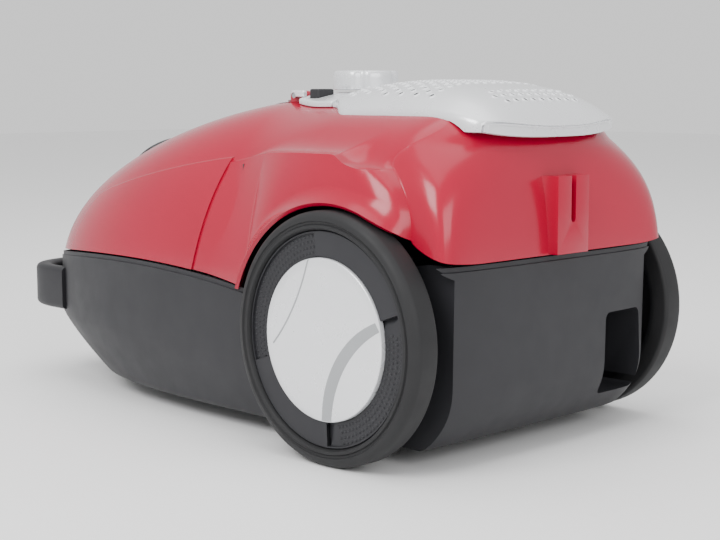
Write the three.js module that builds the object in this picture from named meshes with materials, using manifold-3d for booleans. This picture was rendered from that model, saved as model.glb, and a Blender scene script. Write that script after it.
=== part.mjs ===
// Canister vacuum cleaner, built as an assembly of separate named pieces.
// Units are millimetres. +Z is up, -Y is the front (hose end), +X is the machine's left side.
// The body coordinates below have the wheel axle at y = 0; the exported group moves them so that
// the origin lies on the floor under the middle of the whole machine.
import * as THREE from "three";
import { mergeVertices } from "three/addons/utils/BufferGeometryUtils.js";
import Module from "manifold-3d";

const wasm = await Module();
wasm.setup();

// ---------- driving dimensions ----------
const WALL = 3; // moulded shell thickness
const GAP = 0.4; // clearance between pieces that touch
const JOINT_GAP = 1.6; // shadow gap between the red shells and the housing
const FLOOR_CLEARANCE = 12; // underside of the housing above the floor

const WHEEL_R = 85;
const WHEEL_OUT = 148.5; // outer face of a rear wheel, from the middle plane
const WHEEL_IN = 126.5; // inner edge of its tread
const RIM_R = 72;
const CAP_R = 54.5;
const AXLE_R = 5;
const ARCH_R = 89; // wheel arch cut in the shells
const WELL_X = 105; // inner wall of the wheel well

const NOSE_Y = -420; // tip of the shells
const NOSE_MID_Y = -100; // where the nose curve begins
const REAR_MID_Y = 40; // where the rear curve begins
const REAR_Y = 83; // rear panel
const SIDE_X = 130; // widest point of the shells
const BASE_Z = 107; // lowest point of the red shells
const TOP_Z = 241; // top of the red shells
const REAR_PART_Z = 137; // joint line between red and charcoal at the rear
const NOSE_EXP = 3.2; // fullness of the nose in plan
// The red hood: half width, nose length and how both fall off towards the top.
const HOOD = {
  x: 126.5, sideFall: 2.3, sideRound: 3.08, length: 257, noseFall: 2, noseRound: 1.48, fullness: 2.86,
};
const HANDLE_Y = -432; // front of the carry handle
const BRACKET_Y = 92; // rear face of the parking bracket

const LID_PLANE = { y: -160, z: 118, slope: 0.3 }; // joint between lid and rear cover
const HINGE = { x: 42, y: -129, z: 243, r: 2 }; // lid hinge pins
const PORT = { y: -350, z: 181.5, tilt: 0.66, bore: 18, ring: 30 }; // hose port on the lid
const KNOB = { y: -105, z: 247.2, r: 26, h: 14.8, shaft: 6 };
const KEY = { x: 46, w: 16 }; // power key on the left of the knob, rewind key on the right
const GRILLE = { front: -76, rear: 84, corner: 72, frontX: 63, sideX: 78 };
const CASTER = { y: -285, r: 13, trail: 9, well: 31, top: 36, stem: 5, pin: 2.5 };
const POCKET = { x0: -101, x1: -55, y0: 38, z0: 30, z1: 90 };
const OUTLET = { x: -78, z: 60, r: 8 }; // cord outlet in the pocket's back wall
const PARK = { face: 17, base: 25, slot: 5, slotZ: 159, z0: 138, z1: 190.5 };
const RECESS = { x: 74, y: -394, z0: 47, z1: 99 }; // finger room behind the carry handle
const HANDLE = { x: 105, y0: -362, z0: 62, z1: 98, thick: 12 };
const LATCH = { x: 16, y: -420.5, z0: 100.5, z1: 119 };
const SCREWS = [[88, -235], [-88, -235], [60, 40], [-34, 42]];
const BULKHEAD_Y = -122;
const MOTOR = { x: 28, z: 92, r: 50, y0: -108, y1: 20 };
const REEL = { y: -44, z: 112, r: 68, x0: -84, x1: -40 };
const BAG = { x: 88, y: 74, z: 64, cy: -246, cz: 119 };

// ---------- small maths ----------
const clamp = (v, a, b) => Math.min(b, Math.max(a, v));
const lerp = (a, b, t) => a + (b - a) * t;
const smooth = (a, b, v) => {
  const t = clamp((v - a) / (b - a), 0, 1);
  return t * t * (3 - 2 * t);
};
const superCos = (a, e) => Math.pow(Math.max(Math.cos(a), 0), e);
const superSin = (a, e) => Math.pow(Math.max(Math.sin(a), 0), e);
const bow = (r, m, n) => Math.pow(Math.max(1 - Math.pow(clamp(r, 0, 1), m), 0), 1 / n);

// ---------- solids ----------
function toSolid(geometry) {
  const g = geometry.clone();
  for (const name of Object.keys(g.attributes)) if (name !== "position") g.deleteAttribute(name);
  const merged = mergeVertices(g, 1e-4);
  const keep = [];
  const index = merged.index.array;
  for (let i = 0; i < index.length; i += 3) {
    const [a, b, c] = [index[i], index[i + 1], index[i + 2]];
    if (a !== b && b !== c && a !== c) keep.push(a, b, c);
  }
  const made = (triVerts) =>
    new wasm.Manifold(
      new wasm.Mesh({
        numProp: 3,
        vertProperties: new Float32Array(merged.attributes.position.array),
        triVerts: new Uint32Array(triVerts),
      }),
    );
  const s = made(keep);
  if (s.volume() >= 0) return s;
  for (let i = 0; i < keep.length; i += 3) [keep[i + 1], keep[i + 2]] = [keep[i + 2], keep[i + 1]];
  return made(keep);
}

function toGeometry(s) {
  const m = s.getMesh();
  const v = new Float32Array(m.numVert * 3);
  for (let i = 0; i < m.numVert; i++)
    v.set(m.vertProperties.subarray(i * m.numProp, i * m.numProp + 3), i * 3);
  const g = new THREE.BufferGeometry();
  g.setAttribute("position", new THREE.BufferAttribute(v, 3));
  g.setIndex(new THREE.BufferAttribute(new Uint32Array(m.triVerts), 1));
  g.computeVertexNormals();
  return g;
}

const union = (...all) => all.reduce((a, b) => a.add(b));
const cut = (a, ...tools) => tools.reduce((s, t) => s.subtract(t), a);

function box(x0, x1, y0, y1, z0, z1) {
  const g = new THREE.BoxGeometry(x1 - x0, y1 - y0, z1 - z0);
  g.translate((x0 + x1) / 2, (y0 + y1) / 2, (z0 + z1) / 2);
  return toSolid(g);
}

// A turned solid about the X, Y or Z axis through (x, y, z).
// The profile is [radius, distance along the axis] pairs.
function turned(profile, axis, at, segments = 32) {
  const g = new THREE.LatheGeometry(
    profile.map(([r, d]) => new THREE.Vector2(r, d)),
    segments,
  );
  if (axis === "x") g.rotateZ(-Math.PI / 2);
  if (axis === "z") g.rotateX(Math.PI / 2);
  g.translate(...at);
  return toSolid(g);
}

const rod = (r, from, to, axis, at, segments = 24) =>
  turned([[0, from], [r, from], [r, to], [0, to]], axis, at, segments);
const tube = (ri, ro, from, to, axis, at, segments = 24) =>
  turned([[ri, from], [ro, from], [ro, to], [ri, to], [ri, from]], axis, at, segments);

// An outline in a plane, extruded. The outline's own axes are X and Y, and it rises along Z.
function prism(points, depth, holes = []) {
  const shape = new THREE.Shape(points.map(([x, y]) => new THREE.Vector2(x, y)));
  for (const h of holes) shape.holes.push(new THREE.Path(h.map(([x, y]) => new THREE.Vector2(x, y))));
  return new THREE.ExtrudeGeometry(shape, { depth, bevelEnabled: false });
}

// Points of a rectangle with round corners, centred on (x, y).
function roundRect(x, y, w, h, r, steps = 4) {
  const out = [];
  for (let corner = 0; corner < 4; corner++) {
    const sx = corner === 0 || corner === 3 ? 1 : -1;
    const sy = corner < 2 ? 1 : -1;
    for (let i = 0; i <= steps; i++) {
      const a = ((corner + i / steps) * Math.PI) / 2;
      out.push([x + sx * (w / 2 - r) + r * Math.cos(a), y + sy * (h / 2 - r) + r * Math.sin(a)]);
    }
  }
  return out;
}

// A solid through closed rings of points. Each ring is a half loop of the +X side, front to rear,
// mirrored to the -X side. The last ring may lie on the middle plane, which closes the top.
function ringSolid(halfRings) {
  const half = halfRings[0].length;
  const n = 2 * half - 2;
  const position = [];
  for (const ring of halfRings) {
    for (const [x, y, z] of ring) position.push(x, y, z);
    for (let i = half - 2; i > 0; i--) position.push(-ring[i][0], ring[i][1], ring[i][2]);
  }
  const index = [];
  const quad = (a, b, c, d) => index.push(a, b, c, a, c, d);
  for (let k = 0; k + 1 < halfRings.length; k++)
    for (let i = 0; i < n; i++) {
      const j = (i + 1) % n;
      quad(k * n + i, k * n + j, (k + 1) * n + j, (k + 1) * n + i);
    }
  const ladder = (k, flip) => {
    for (let i = 0; i < half - 1; i++) {
      const left = (m) => k * n + ((n - m) % n);
      const q = [k * n + i, left(i), left(i + 1), k * n + i + 1];
      if (flip) q.reverse();
      quad(...q);
    }
  };
  ladder(0, false);
  if (halfRings.at(-1).some(([x]) => x > 1e-6)) ladder(halfRings.length - 1, true);
  const g = new THREE.BufferGeometry();
  g.setAttribute("position", new THREE.Float32BufferAttribute(position, 3));
  g.setIndex(index);
  return toSolid(g);
}

// ---------- the body's outer form ----------
const lidJointZ = (y) => 119 - (y < -240 ? 12 * ((y + 240) / 180) ** 2 : 11 * ((y + 240) / 150) ** 2);
const lidPlaneY = (z) => LID_PLANE.y + LID_PLANE.slope * (z - LID_PLANE.z);

// Height of the joint line between the red shells and the charcoal housing.
const jointZ = (y) => lerp(lidJointZ(Math.min(y, -88)), REAR_PART_Z, smooth(-88, 70, y));

// Height of the crease that runs from the nose over the wheel arch, and down behind the wheel.
function creaseZ(y) {
  if (y < -35) return 205.5 - 0.00207 * (-35 - y) ** 1.767;
  if (y > 74) return 0;
  return 141 + 64.5 * bow((y + 35) / 109, 4, 1.7);
}

// Half width of the flank below the crease, which bulges over the wheel.
const flankX = (y, z) =>
  SIDE_X + 1.5 * Math.exp(-((y / 70) ** 2)) - 6 * (clamp(z - 140, 0, 80) / 65) ** 2;

// One point of the red shells' outer form. station is a place along the half loop: its end ("nose", "side" or
// "rear") and a, an angle or a share. r is the height, 0 at BASE_Z and 1 at the top. inset moves the form inwards.
function shellPoint(station, r, inset, flank) {
  const z = BASE_Z + r * (TOP_Z - inset - BASE_Z);
  let x;
  let y;
  const lidHalf = (HOOD.x - inset) * bow(r, HOOD.sideFall, HOOD.sideRound);
  const side = bow(r, 8, 2.1);
  if (station.end === "nose") {
    const length = (HOOD.length - inset) * bow(r, HOOD.noseFall, HOOD.noseRound);
    x = lidHalf * superSin(station.a, 2 / HOOD.fullness);
    y = lidPlaneY(z) - length * superCos(station.a, 2 / HOOD.fullness);
  } else if (station.end === "side") {
    y = lerp(lidPlaneY(z), REAR_MID_Y, station.a);
    x = lerp(lidHalf, (115 - inset) * side, smooth(-135, 0, y));
  } else {
    const c = lerp(side, bow(r, 3.3, 3.3), smooth(0, Math.PI / 3, station.a));
    x = (115 - inset) * superCos(station.a, 2 / 4.6) * c;
    y = REAR_MID_Y + (REAR_Y - REAR_MID_Y - inset) * superSin(station.a, 2 / 4.6) * c;
  }
  if (flank > 0 && y < 74 - inset)
    x = lerp(x, Math.max(x, flankX(y, z) - inset), flank * smooth(-150, -70, y));
  return [x, y, z];
}

function shellStations(nose, side, rear) {
  const out = [];
  for (let i = 0; i < nose; i++) out.push({ end: "nose", a: ((i / nose) * Math.PI) / 2 });
  for (let i = 0; i < side; i++)
    out.push({ end: "side", a: i / side });
  for (let i = 0; i <= rear; i++) out.push({ end: "rear", a: ((i / rear) * Math.PI) / 2 });
  return out;
}

// The red shells' form as a solid, from the joint line (or from lower down, with drop) to the top.
function shellForm(inset, drop, detail) {
  const stations = shellStations(...detail.around);
  const rOf = (z) => (z - BASE_Z) / (TOP_Z - inset - BASE_Z);
  const rings = [];
  const put = (f) => rings.push(stations.map(f));
  const start = (s) => {
    const low = shellPoint(s, 0, inset, 1);
    return Math.max(rOf(jointZ(low[1])), 0);
  };
  const crest = (s) => {
    let r = 0.5;
    for (let i = 0; i < 8; i++) r = rOf(creaseZ(shellPoint(s, r, inset, 0)[1]) - inset);
    return Math.max(r, start(s) + 0.01);
  };
  if (drop > 0)
    put((s) => {
      const p = shellPoint(s, start(s), inset, 1);
      return [p[0], p[1], p[2] - drop];
    });
  for (let k = 0; k <= detail.low; k++)
    put((s) => shellPoint(s, lerp(start(s), crest(s) - 0.006, k / detail.low), inset, 1));
  put((s) => shellPoint(s, crest(s) + 0.006, inset, 0));
  for (let k = 1; k <= detail.high; k++)
    put((s) => {
      const r = lerp(crest(s), 1, Math.sin(((k / detail.high) * Math.PI) / 2));
      const p = shellPoint(s, r, inset, 0);
      return k === detail.high ? [0, p[1], TOP_Z - inset] : p;
    });
  return ringSolid(rings);
}

// The charcoal housing's form, from the underside to the joint line.
function housingForm(inset, topRise, around) {
  const stations = shellStations(...around);
  const levels = [0, 0.08, 0.25, 0.5, 1];
  const bottom = FLOOR_CLEARANCE + inset;
  const knee = 60;
  const rings = levels.map((v) =>
    stations.map((s) => {
      const z = lerp(bottom, knee, v);
      const drop = (knee - z) / (knee - FLOOR_CLEARANCE);
      const round = v === 0 ? 3 : 0;
      return plan(s, z, 1.2 + inset + round, 59 * drop ** 1.1, 16 * drop ** 1.5, 26 * drop ** 2.6);
    }),
  );
  rings.push(
    stations.map((s) => {
      const p = plan(s, 0, 1.2 + inset, 0, 0, -1);
      return [p[0], p[1], jointZ(p[1]) - JOINT_GAP + topRise];
    }),
  );
  return ringSolid(rings);
}

// One point of the housing's outline in plan at height z.
// back, narrow and lift draw in the nose, the sides and the rear.
function plan(s, z, inset, back, narrow, lift) {
  if (s.end === "nose")
    return [
      (SIDE_X - inset - narrow) * superSin(s.a, 2 / NOSE_EXP),
      NOSE_MID_Y - (NOSE_MID_Y - NOSE_Y - inset - back) * superCos(s.a, 2 / NOSE_EXP),
      z,
    ];
  if (s.end === "side")
    return [SIDE_X - inset - narrow, lerp(NOSE_MID_Y, REAR_MID_Y, s.a), z];
  return [
    (SIDE_X - inset - narrow) * superCos(s.a, 2 / 5),
    REAR_MID_Y + (REAR_Y - REAR_MID_Y - 1 - inset - lift) * superSin(s.a, 2 / 5),
    z,
  ];
}

// ---------- materials ----------
const material = (color, roughness, metalness = 0) =>
  new THREE.MeshStandardMaterial({ color, roughness, metalness });
const RED = material(0xc8102e, 0.28);
const CHARCOAL = material(0x3d3c40, 0.55);
const BLACK = material(0x1d1d20, 0.65);
const SILVER = material(0xc9ccd0, 0.35, 0.6);
const RUBBER = material(0x232325, 0.85);
const STEEL = material(0xa9acb0, 0.35, 0.9);
const WHITE = material(0xe9e8e2, 0.8);
const PAPER = material(0xd9cfb8, 0.95);
const COPPER = material(0xb87333, 0.4, 0.8);
const BOARD = material(0x2c6a45, 0.6);

const machine = new THREE.Group();
machine.name = "canister_vacuum";

function add(name, shape, look, parent = machine) {
  const mesh = new THREE.Mesh(shape.isBufferGeometry ? shape : toGeometry(shape), look);
  mesh.name = name;
  parent.add(mesh);
  return mesh;
}

// ---------- shells ----------
const FINE = { around: [11, 6, 7], low: 2, high: 5 };
const COARSE = { around: [7, 4, 5], low: 1, high: 4 };
const HOUSING_AROUND = [8, 3, 5];
const shellOuter = shellForm(0, 0, FINE);
const shellInner = shellForm(WALL, 30, COARSE);
const shellClear = shellForm(-GAP, 0, FINE); // what a piece that lies on the red shells is cut by
const shell = cut(shellOuter, shellInner);

// Everything in front of the joint between lid and rear cover, moved back by `by`.
function beforeLidPlane(by) {
  const y = (z) => lidPlaneY(z) + by;
  const g = prism([[y(60), 60], [y(300), 300], [-500, 300], [-500, 60]], 400);
  g.rotateY(Math.PI / 2);
  g.rotateX(Math.PI / 2);
  g.translate(-200, 0, 0);
  return toSolid(g);
}

const archCut = rod(ARCH_R, -200, 200, "x", [0, 0, WHEEL_R], 36);
const sides = [
  { name: "left", s: 1 },
  { name: "right", s: -1 },
];
const along = (s, a, b) => (s > 0 ? [a, b] : [-b, -a]);

function rearCover() {
  const exhaust = box(-56, 56, -64, 56, 200, 260);
  const shaft = rod(KNOB.shaft + 1, 200, 260, "z", [0, KNOB.y, 0]);
  const keys = sides.map(({ s }) =>
    box(...along(s, KEY.x - KEY.w / 2 - 1, KEY.x + KEY.w / 2 + 1), KNOB.y - 6, KNOB.y + 6, 200, 260));
  return cut(shell, beforeLidPlane(0.6), archCut, exhaust, shaft, ...keys);
}

// A cylinder about the hose port's axis; the distances are measured from the lid's skin, outwards.
function portRod(radius, from, to, segments = 32) {
  const g = new THREE.CylinderGeometry(radius, radius, to - from, segments);
  g.translate(0, (from + to) / 2, 0);
  g.rotateX(Math.PI / 2 + PORT.tilt);
  g.translate(0, PORT.y, PORT.z);
  return toSolid(g);
}

function hingeLug({ s }) {
  const x = along(s, HINGE.x - 5, HINGE.x + 5);
  const arm = box(...x, HINGE.y - 8, HINGE.y, HINGE.z - 5, HINGE.z + 1.5);
  const eye = rod(3.6, ...x, "x", [0, HINGE.y, HINGE.z], 16);
  return cut(union(arm, eye), rod(HINGE.r + 0.08, -200, 200, "x", [0, HINGE.y, HINGE.z], 16));
}

function frontLid() {
  const half = cut(shell.intersect(beforeLidPlane(-0.6)), portRod(PORT.ring - 4, -40, 40));
  return union(half, ...sides.map(hingeLug));
}

const hingeRoom = sides.map(({ s }) =>
  box(...along(s, HINGE.x - 6, HINGE.x + 6), HINGE.y - 12, HINGE.y + 7, HINGE.z - 8, HINGE.z + 9));

add("rear_cover", cut(rearCover(), ...hingeRoom), RED);
add("front_lid", frontLid(), RED);

function hosePort() {
  const body = union(portRod(PORT.ring, 3.6, 9), portRod(PORT.ring - 4.4, -14, 6));
  return cut(body, portRod(PORT.bore, -30, 30));
}
add("hose_port", cut(hosePort(), shellClear.intersect(portShadow())), BLACK);

// The lid's skin around the port's flange, which the flange is hollowed to clear.
function portShadow() {
  return cut(portRod(PORT.ring + 4, -10, 30), portRod(PORT.ring - 4.2, -20, 40));
}

// ---------- silver trim on the shells ----------
// A skin of the given thickness on the red shells, inside a plan outline.
function skin(thickness, outline) {
  const stencil = prism(outline, 200);
  stencil.translate(0, 0, 150);
  return cut(shellForm(-thickness, 0, FINE).intersect(toSolid(stencil)), shellClear);
}

const mirrored = (half) => [...half, ...half.map(([x, y]) => [-x, y]).reverse()];

const trimOutline = mirrored([[48, -134], [44, -165], [34, -200], [14, -232]]);
add("lid_trim", cut(skin(2.4, trimOutline), ...hingeRoom), SILVER);

function consolePanel() {
  const deck = skin(5, mirrored([[64, GRILLE.front - 1], [62, -112], [56, -121]]));
  const ears = sides.flatMap(({ s }) =>
    [-10.5, 6.5].map((d) => {
      const x = along(s, HINGE.x + d, HINGE.x + d + 4);
      return box(...x, HINGE.y - 3, HINGE.y + 11, HINGE.z - 1.2, HINGE.z + 4);
    }));
  const shaft = rod(KNOB.shaft + 1, 200, 260, "z", [0, KNOB.y, 0]);
  const keys = sides.map(({ s }) => {
    const x = along(s, KEY.x - KEY.w / 2 - 0.8, KEY.x + KEY.w / 2 + 0.8);
    return box(...x, KNOB.y - 5.8, KNOB.y + 5.8, 200, 260);
  });
  const pins = rod(HINGE.r + 0.35, -200, 200, "x", [0, HINGE.y, HINGE.z], 16);
  return cut(union(deck, ...ears), shaft, pins, shellClear, ...keys);
}
add("console_panel", consolePanel(), SILVER);

for (const { name, s } of sides) {
  const span = along(s, HINGE.x - 10, HINGE.x + 10);
  add("hinge_pin_" + name, rod(HINGE.r, ...span, "x", [0, HINGE.y, HINGE.z], 16), STEEL);
}

// A closed sheet over a grid: top and bottom give a point for u in -1..1 across and v in 0..1 along.
function sheetSolid(nu, nv, top, bottom) {
  const position = [];
  for (const f of [bottom, top])
    for (let j = 0; j <= nv; j++)
      for (let i = 0; i <= nu; i++) position.push(...f((2 * i) / nu - 1, j / nv));
  const id = (layer, i, j) => layer * (nu + 1) * (nv + 1) + j * (nu + 1) + i;
  const index = [];
  const quad = (a, b, c, d) => index.push(a, b, c, a, c, d);
  for (let j = 0; j < nv; j++)
    for (let i = 0; i < nu; i++) {
      quad(id(1, i, j), id(1, i + 1, j), id(1, i + 1, j + 1), id(1, i, j + 1));
      quad(id(0, i, j + 1), id(0, i + 1, j + 1), id(0, i + 1, j), id(0, i, j));
    }
  for (let i = 0; i < nu; i++) {
    quad(id(0, i, 0), id(0, i + 1, 0), id(1, i + 1, 0), id(1, i, 0));
    quad(id(1, i, nv), id(1, i + 1, nv), id(0, i + 1, nv), id(0, i, nv));
  }
  for (let j = 0; j < nv; j++) {
    quad(id(0, 0, j + 1), id(0, 0, j), id(1, 0, j), id(1, 0, j + 1));
    quad(id(0, nu, j), id(0, nu, j + 1), id(1, nu, j + 1), id(1, nu, j));
  }
  const g = new THREE.BufferGeometry();
  g.setAttribute("position", new THREE.Float32BufferAttribute(position, 3));
  g.setIndex(index);
  return toSolid(g);
}

// Height of the exhaust grille's top: a crown that falls to the sides and rolls over at the rear.
function grilleZ(x, y, rear) {
  const crown = 254 - 9 * ((y + 10) / 72) ** 2;
  const roll = y > 0 ? 1 - (y / (rear + 2)) ** 12 : 1;
  return 216 + (crown - 216) * (1 - Math.abs(x / 92) ** 4) * roll;
}

function exhaustGrille() {
  const rear = (u) => lerp(GRILLE.rear, GRILLE.corner, Math.abs(u) ** 2.6);
  const y = (u, v) => lerp(GRILLE.front, rear(u), 1 - (1 - v) ** 1.6);
  const x = (u, v) =>
    u * lerp(GRILLE.frontX, GRILLE.sideX, smooth(GRILLE.front, -50, y(u, v))) * (1 - 0.1 * v ** 6);
  const at = (drop) => (u, v) => {
    const [px, py] = [x(u, v), y(u, v)];
    return [px, py, grilleZ(px, py, rear(u)) - drop];
  };
  return cut(sheetSolid(10, 10, at(0), at(14)), shellClear, box(-55, 55, -63, 55, 200, 240));
}
add("exhaust_grille", exhaustGrille(), SILVER);

// ---------- knob and keys ----------
function knob() {
  const lobes = [];
  const n = 30;
  for (let i = 0; i < n; i++) {
    const a = (2 * Math.PI * i) / n;
    const groove = Math.pow(Math.abs(Math.cos(2.5 * a)), 6);
    const r = KNOB.r - 3 * (1 - groove) * 0.2 - 2.6 * Math.pow(Math.abs(Math.sin(2.5 * a)), 14);
    lobes.push([r * Math.cos(a), r * Math.sin(a)]);
  }
  const g = new THREE.ExtrudeGeometry(new THREE.Shape(lobes.map(([x, y]) => new THREE.Vector2(x, y))), {
    depth: KNOB.h - 3.2,
    bevelSize: 1.6,
    bevelOffset: -1.6,
    bevelThickness: 1.6,
    bevelSegments: 1,
  });
  g.translate(0, KNOB.y, KNOB.z + 1.6);
  return union(toSolid(g), rod(KNOB.shaft, 232, KNOB.z + 4, "z", [0, KNOB.y, 0]));
}
add("power_knob", knob(), SILVER);
add("potentiometer", cut(
  rod(10, 218, 230.5, "z", [0, KNOB.y, 0], 20),
  rod(3, 229, 231, "z", [0, KNOB.y, 0], 12),
), BLACK);

function key({ s }) {
  const g = prism(roundRect(s * KEY.x, KNOB.y, KEY.w, 10, 3), 15);
  g.translate(0, 0, 233);
  return toSolid(g);
}
add("power_key", key(sides[0]), CHARCOAL);
add("rewind_key", key(sides[1]), CHARCOAL);

function controlBoard() {
  const y = KNOB.y;
  const board = box(-62, 62, y - 13, y + 13, 216, 217.6);
  return cut(board, box(-12, 12, y - 4, y + 4, 210, 216.2));
}
add("control_board", controlBoard(), BOARD);
add("power_switch", box(KEY.x - 8, KEY.x + 8, KNOB.y - 5, KNOB.y + 5, 218, 229.5), BLACK);

// ---------- parking bracket ----------
function parkBracket() {
  const { face, base, slot } = PARK;
  const side = (t) => [lerp(base, face, 1 - (1 - t) ** 2), lerp(76, BRACKET_Y, t * t)];
  const arc = [0, 0.35, 0.7, 1].map(side);
  const g = prism(mirrored([[base, 70], ...arc]).reverse(), PARK.z1 - PARK.z0);
  g.translate(0, 0, PARK.z0);
  const groove = box(-slot / 2, slot / 2, BRACKET_Y - 9, BRACKET_Y + 5, PARK.slotZ, PARK.z1 + 5);
  return cut(toSolid(g), groove, shellForm(-GAP, 0, COARSE), shellClear);
}
add("parking_bracket", parkBracket(), RED);

// ---------- lower housing ----------
const wells = (out) =>
  union(...sides.map(({ s }) =>
    rod(ARCH_R + out, ...along(s, WELL_X - out, 200), "x", [0, 0, WHEEL_R], 36)));
const recess = (out) =>
  box(-RECESS.x - out, RECESS.x + out, -500, RECESS.y + out, RECESS.z0 - out, RECESS.z1 + out);

function pocketForm(out) {
  const { x0, x1, y0, z0, z1 } = POCKET;
  return box(x0 - out, x1 + out, y0 - out, out > 0 ? REAR_Y - 4 : REAR_Y + 40, z0 - out, z1 + out);
}

const bossAt = SCREWS.map(([x, y]) => ({ x, y }));

function lowerHousing() {
  const cavity = cut(housingForm(WALL, 30, HOUSING_AROUND), wells(WALL), recess(WALL), pocketForm(WALL),
    rod(CASTER.well + WALL, 0, CASTER.top + WALL, "z", [0, CASTER.y, 0]));
  const shellBody = cut(housingForm(0, 0, HOUSING_AROUND), wells(0), recess(0), cavity);
  const bosses = bossAt.map(({ x, y }) => rod(6, FLOOR_CLEARANCE + 1, 60, "z", [x, y, 0], 12));
  const hubs = sides.map(({ s }) => rod(13, ...along(s, 90, WELL_X - 1), "x", [0, 0, WHEEL_R], 20));
  const holes = bossAt.flatMap(({ x, y }) => [
    rod(2.4, 0, 70, "z", [x, y, 0], 12),
    rod(4.6, 0, 20, "z", [x, y, 0], 12),
  ]);
  return cut(
    union(shellBody, ...bosses, ...hubs),
    ...holes,
    pocketForm(0),
    rod(AXLE_R + 0.35, -200, 200, "x", [0, 0, WHEEL_R], 20),
    rod(CASTER.well, 0, CASTER.top, "z", [0, CASTER.y, 0]),
    rod(CASTER.stem + 0.1, 0, 60, "z", [0, CASTER.y, 0], 16),
    rod(OUTLET.r + 0.4, 0, 40, "y", [OUTLET.x, 10, OUTLET.z], 20),
  );
}
add("lower_housing", lowerHousing(), CHARCOAL);

bossAt.forEach(({ x, y }, i) => {
  const head = rod(4.2, 15, 19.4, "z", [x, y, 0], 12);
  add("housing_screw_" + (i + 1), union(head, rod(2, 19, 62, "z", [x, y, 0], 12)), STEEL);
});

add("cord_outlet", turned([[4, 31], [OUTLET.r + 3, 31], [OUTLET.r + 3, 34.5], [OUTLET.r, 34.6],
  [OUTLET.r, 46],
  [4, 46], [4, 31]], "y", [OUTLET.x, 0, OUTLET.z], 20), BLACK);

// ---------- carry handle and lid latch ----------
// The handle is a bowed bar in plan. grow moves the outline inwards; the points run from -X to +X.
function handleCurve(grow, steps) {
  const out = [];
  for (let i = -steps; i <= steps; i++) {
    const a = Math.abs(i / steps) * (Math.PI / 2);
    const x = Math.sign(i) * (HANDLE.x - grow) * superSin(a, 0.5);
    out.push([x, HANDLE.y0 - (HANDLE.y0 - HANDLE_Y - grow) * superCos(a, 0.5)]);
  }
  return out;
}

function frontHandle() {
  const outline = [...handleCurve(0, 8), ...handleCurve(HANDLE.thick, 6).reverse()];
  const g = prism(outline, HANDLE.z1 - HANDLE.z0);
  g.translate(0, 0, HANDLE.z0);
  return cut(toSolid(g), housingForm(-GAP, 20, HOUSING_AROUND));
}
add("front_handle", frontHandle(), CHARCOAL);

function lidLatch() {
  const { x, y, z0, z1 } = LATCH;
  const plate = box(-x, x, y - 3.6, y, z0, z1);
  return cut(plate, shellClear);
}
add("lid_latch", lidLatch(), CHARCOAL);

// ---------- wheels ----------
function tyre() {
  const w = WHEEL_OUT - WHEEL_IN;
  const shoulder = 5;
  const profile = [[RIM_R + 0.3, 0], [WHEEL_R - 3, 0], [WHEEL_R, 3]];
  for (let i = 0; i <= 3; i++) {
    const a = (i / 3) * (Math.PI / 2);
    profile.push([WHEEL_R - shoulder * (1 - Math.cos(a)), w - shoulder * (1 - Math.sin(a))]);
  }
  profile.push([RIM_R + 4, w - 0.6], [RIM_R + 3, w - 2], [RIM_R + 0.3, w - 2], profile[0]);
  return profile;
}

function wheelDisc() {
  const face = WHEEL_OUT - 3;
  return [[AXLE_R + 0.08, 108], [11, 108], [12, face - 6], [RIM_R - 3, face - 6], [RIM_R - 3, WHEEL_IN + 2],
    [RIM_R, WHEEL_IN + 2], [RIM_R, face], [CAP_R + 0.4, face], [CAP_R + 0.4, face - 3], [9, face - 3],
    [9, face - 5], [AXLE_R + 0.08, face - 5], [AXLE_R + 0.08, 108]];
}

const hubCap = [[0, WHEEL_OUT - 5.7], [CAP_R, WHEEL_OUT - 5.7], [CAP_R, WHEEL_OUT - 2.2],
  [CAP_R - 1, WHEEL_OUT - 1.4],
  [30, WHEEL_OUT - 0.7], [0, WHEEL_OUT - 0.5]];

function mirrorX(shape, s) {
  if (s > 0) return shape;
  const g = toGeometry(shape);
  g.scale(-1, 1, 1);
  return toSolid(g);
}

for (const { name, s } of sides) {
  const at = [0, 0, WHEEL_R];
  const part = (piece, look, shape) => add(`${name}_${piece}`, mirrorX(shape, s), look);
  const lift = (profile) => profile.map(([r, d]) => [r, d + WHEEL_IN]);
  part("tyre", RUBBER, turned(lift(tyre()), "x", at, 36));
  part("wheel_disc", CHARCOAL, turned(wheelDisc(), "x", at, 28));
  part("hub_cap", SILVER, turned(hubCap, "x", at, 32));
  part("wheel_axle", STEEL, rod(AXLE_R, 86, WHEEL_OUT - 8.4, "x", at, 16));
  part("axle_clip", STEEL, tube(AXLE_R + 0.35, 9, 87.4, 89.4, "x", at, 16));
}

// ---------- caster ----------
function casterFork() {
  const at = [0, CASTER.y, 0];
  const { r, trail, top, stem } = CASTER;
  const plate = rod(24, top - 5, top - 1, "z", at, 28);
  const post = rod(stem, top - 2, top + 14, "z", at, 16);
  const cheeks = [1, -1].map((s) => {
    const leg = box(...along(s, 9, 12), CASTER.y + trail - 9, CASTER.y + trail + 9, r, top - 4);
    return union(leg, rod(7, ...along(s, 9, 12), "x", [0, CASTER.y + trail, r], 16));
  });
  return cut(union(plate, post, ...cheeks), rod(CASTER.pin + 0.3, -40, 40, "x", [0, CASTER.y + trail, r], 12));
}
add("caster_fork", casterFork(), CHARCOAL);
const casterAxis = [0, CASTER.y + CASTER.trail, CASTER.r];
add("caster_wheel", tube(CASTER.pin + 0.08, CASTER.r, -8, 8, "x", casterAxis, 28), RUBBER);
add("caster_pin", rod(CASTER.pin, -12, 12, "x", casterAxis, 12), STEEL);

// ---------- dust chamber ----------
const cavityForm = (inset) =>
  cut(union(housingForm(inset, 0, HOUSING_AROUND), shellForm(inset + 1.4, 30, COARSE)), wells(inset), recess(inset));

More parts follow.
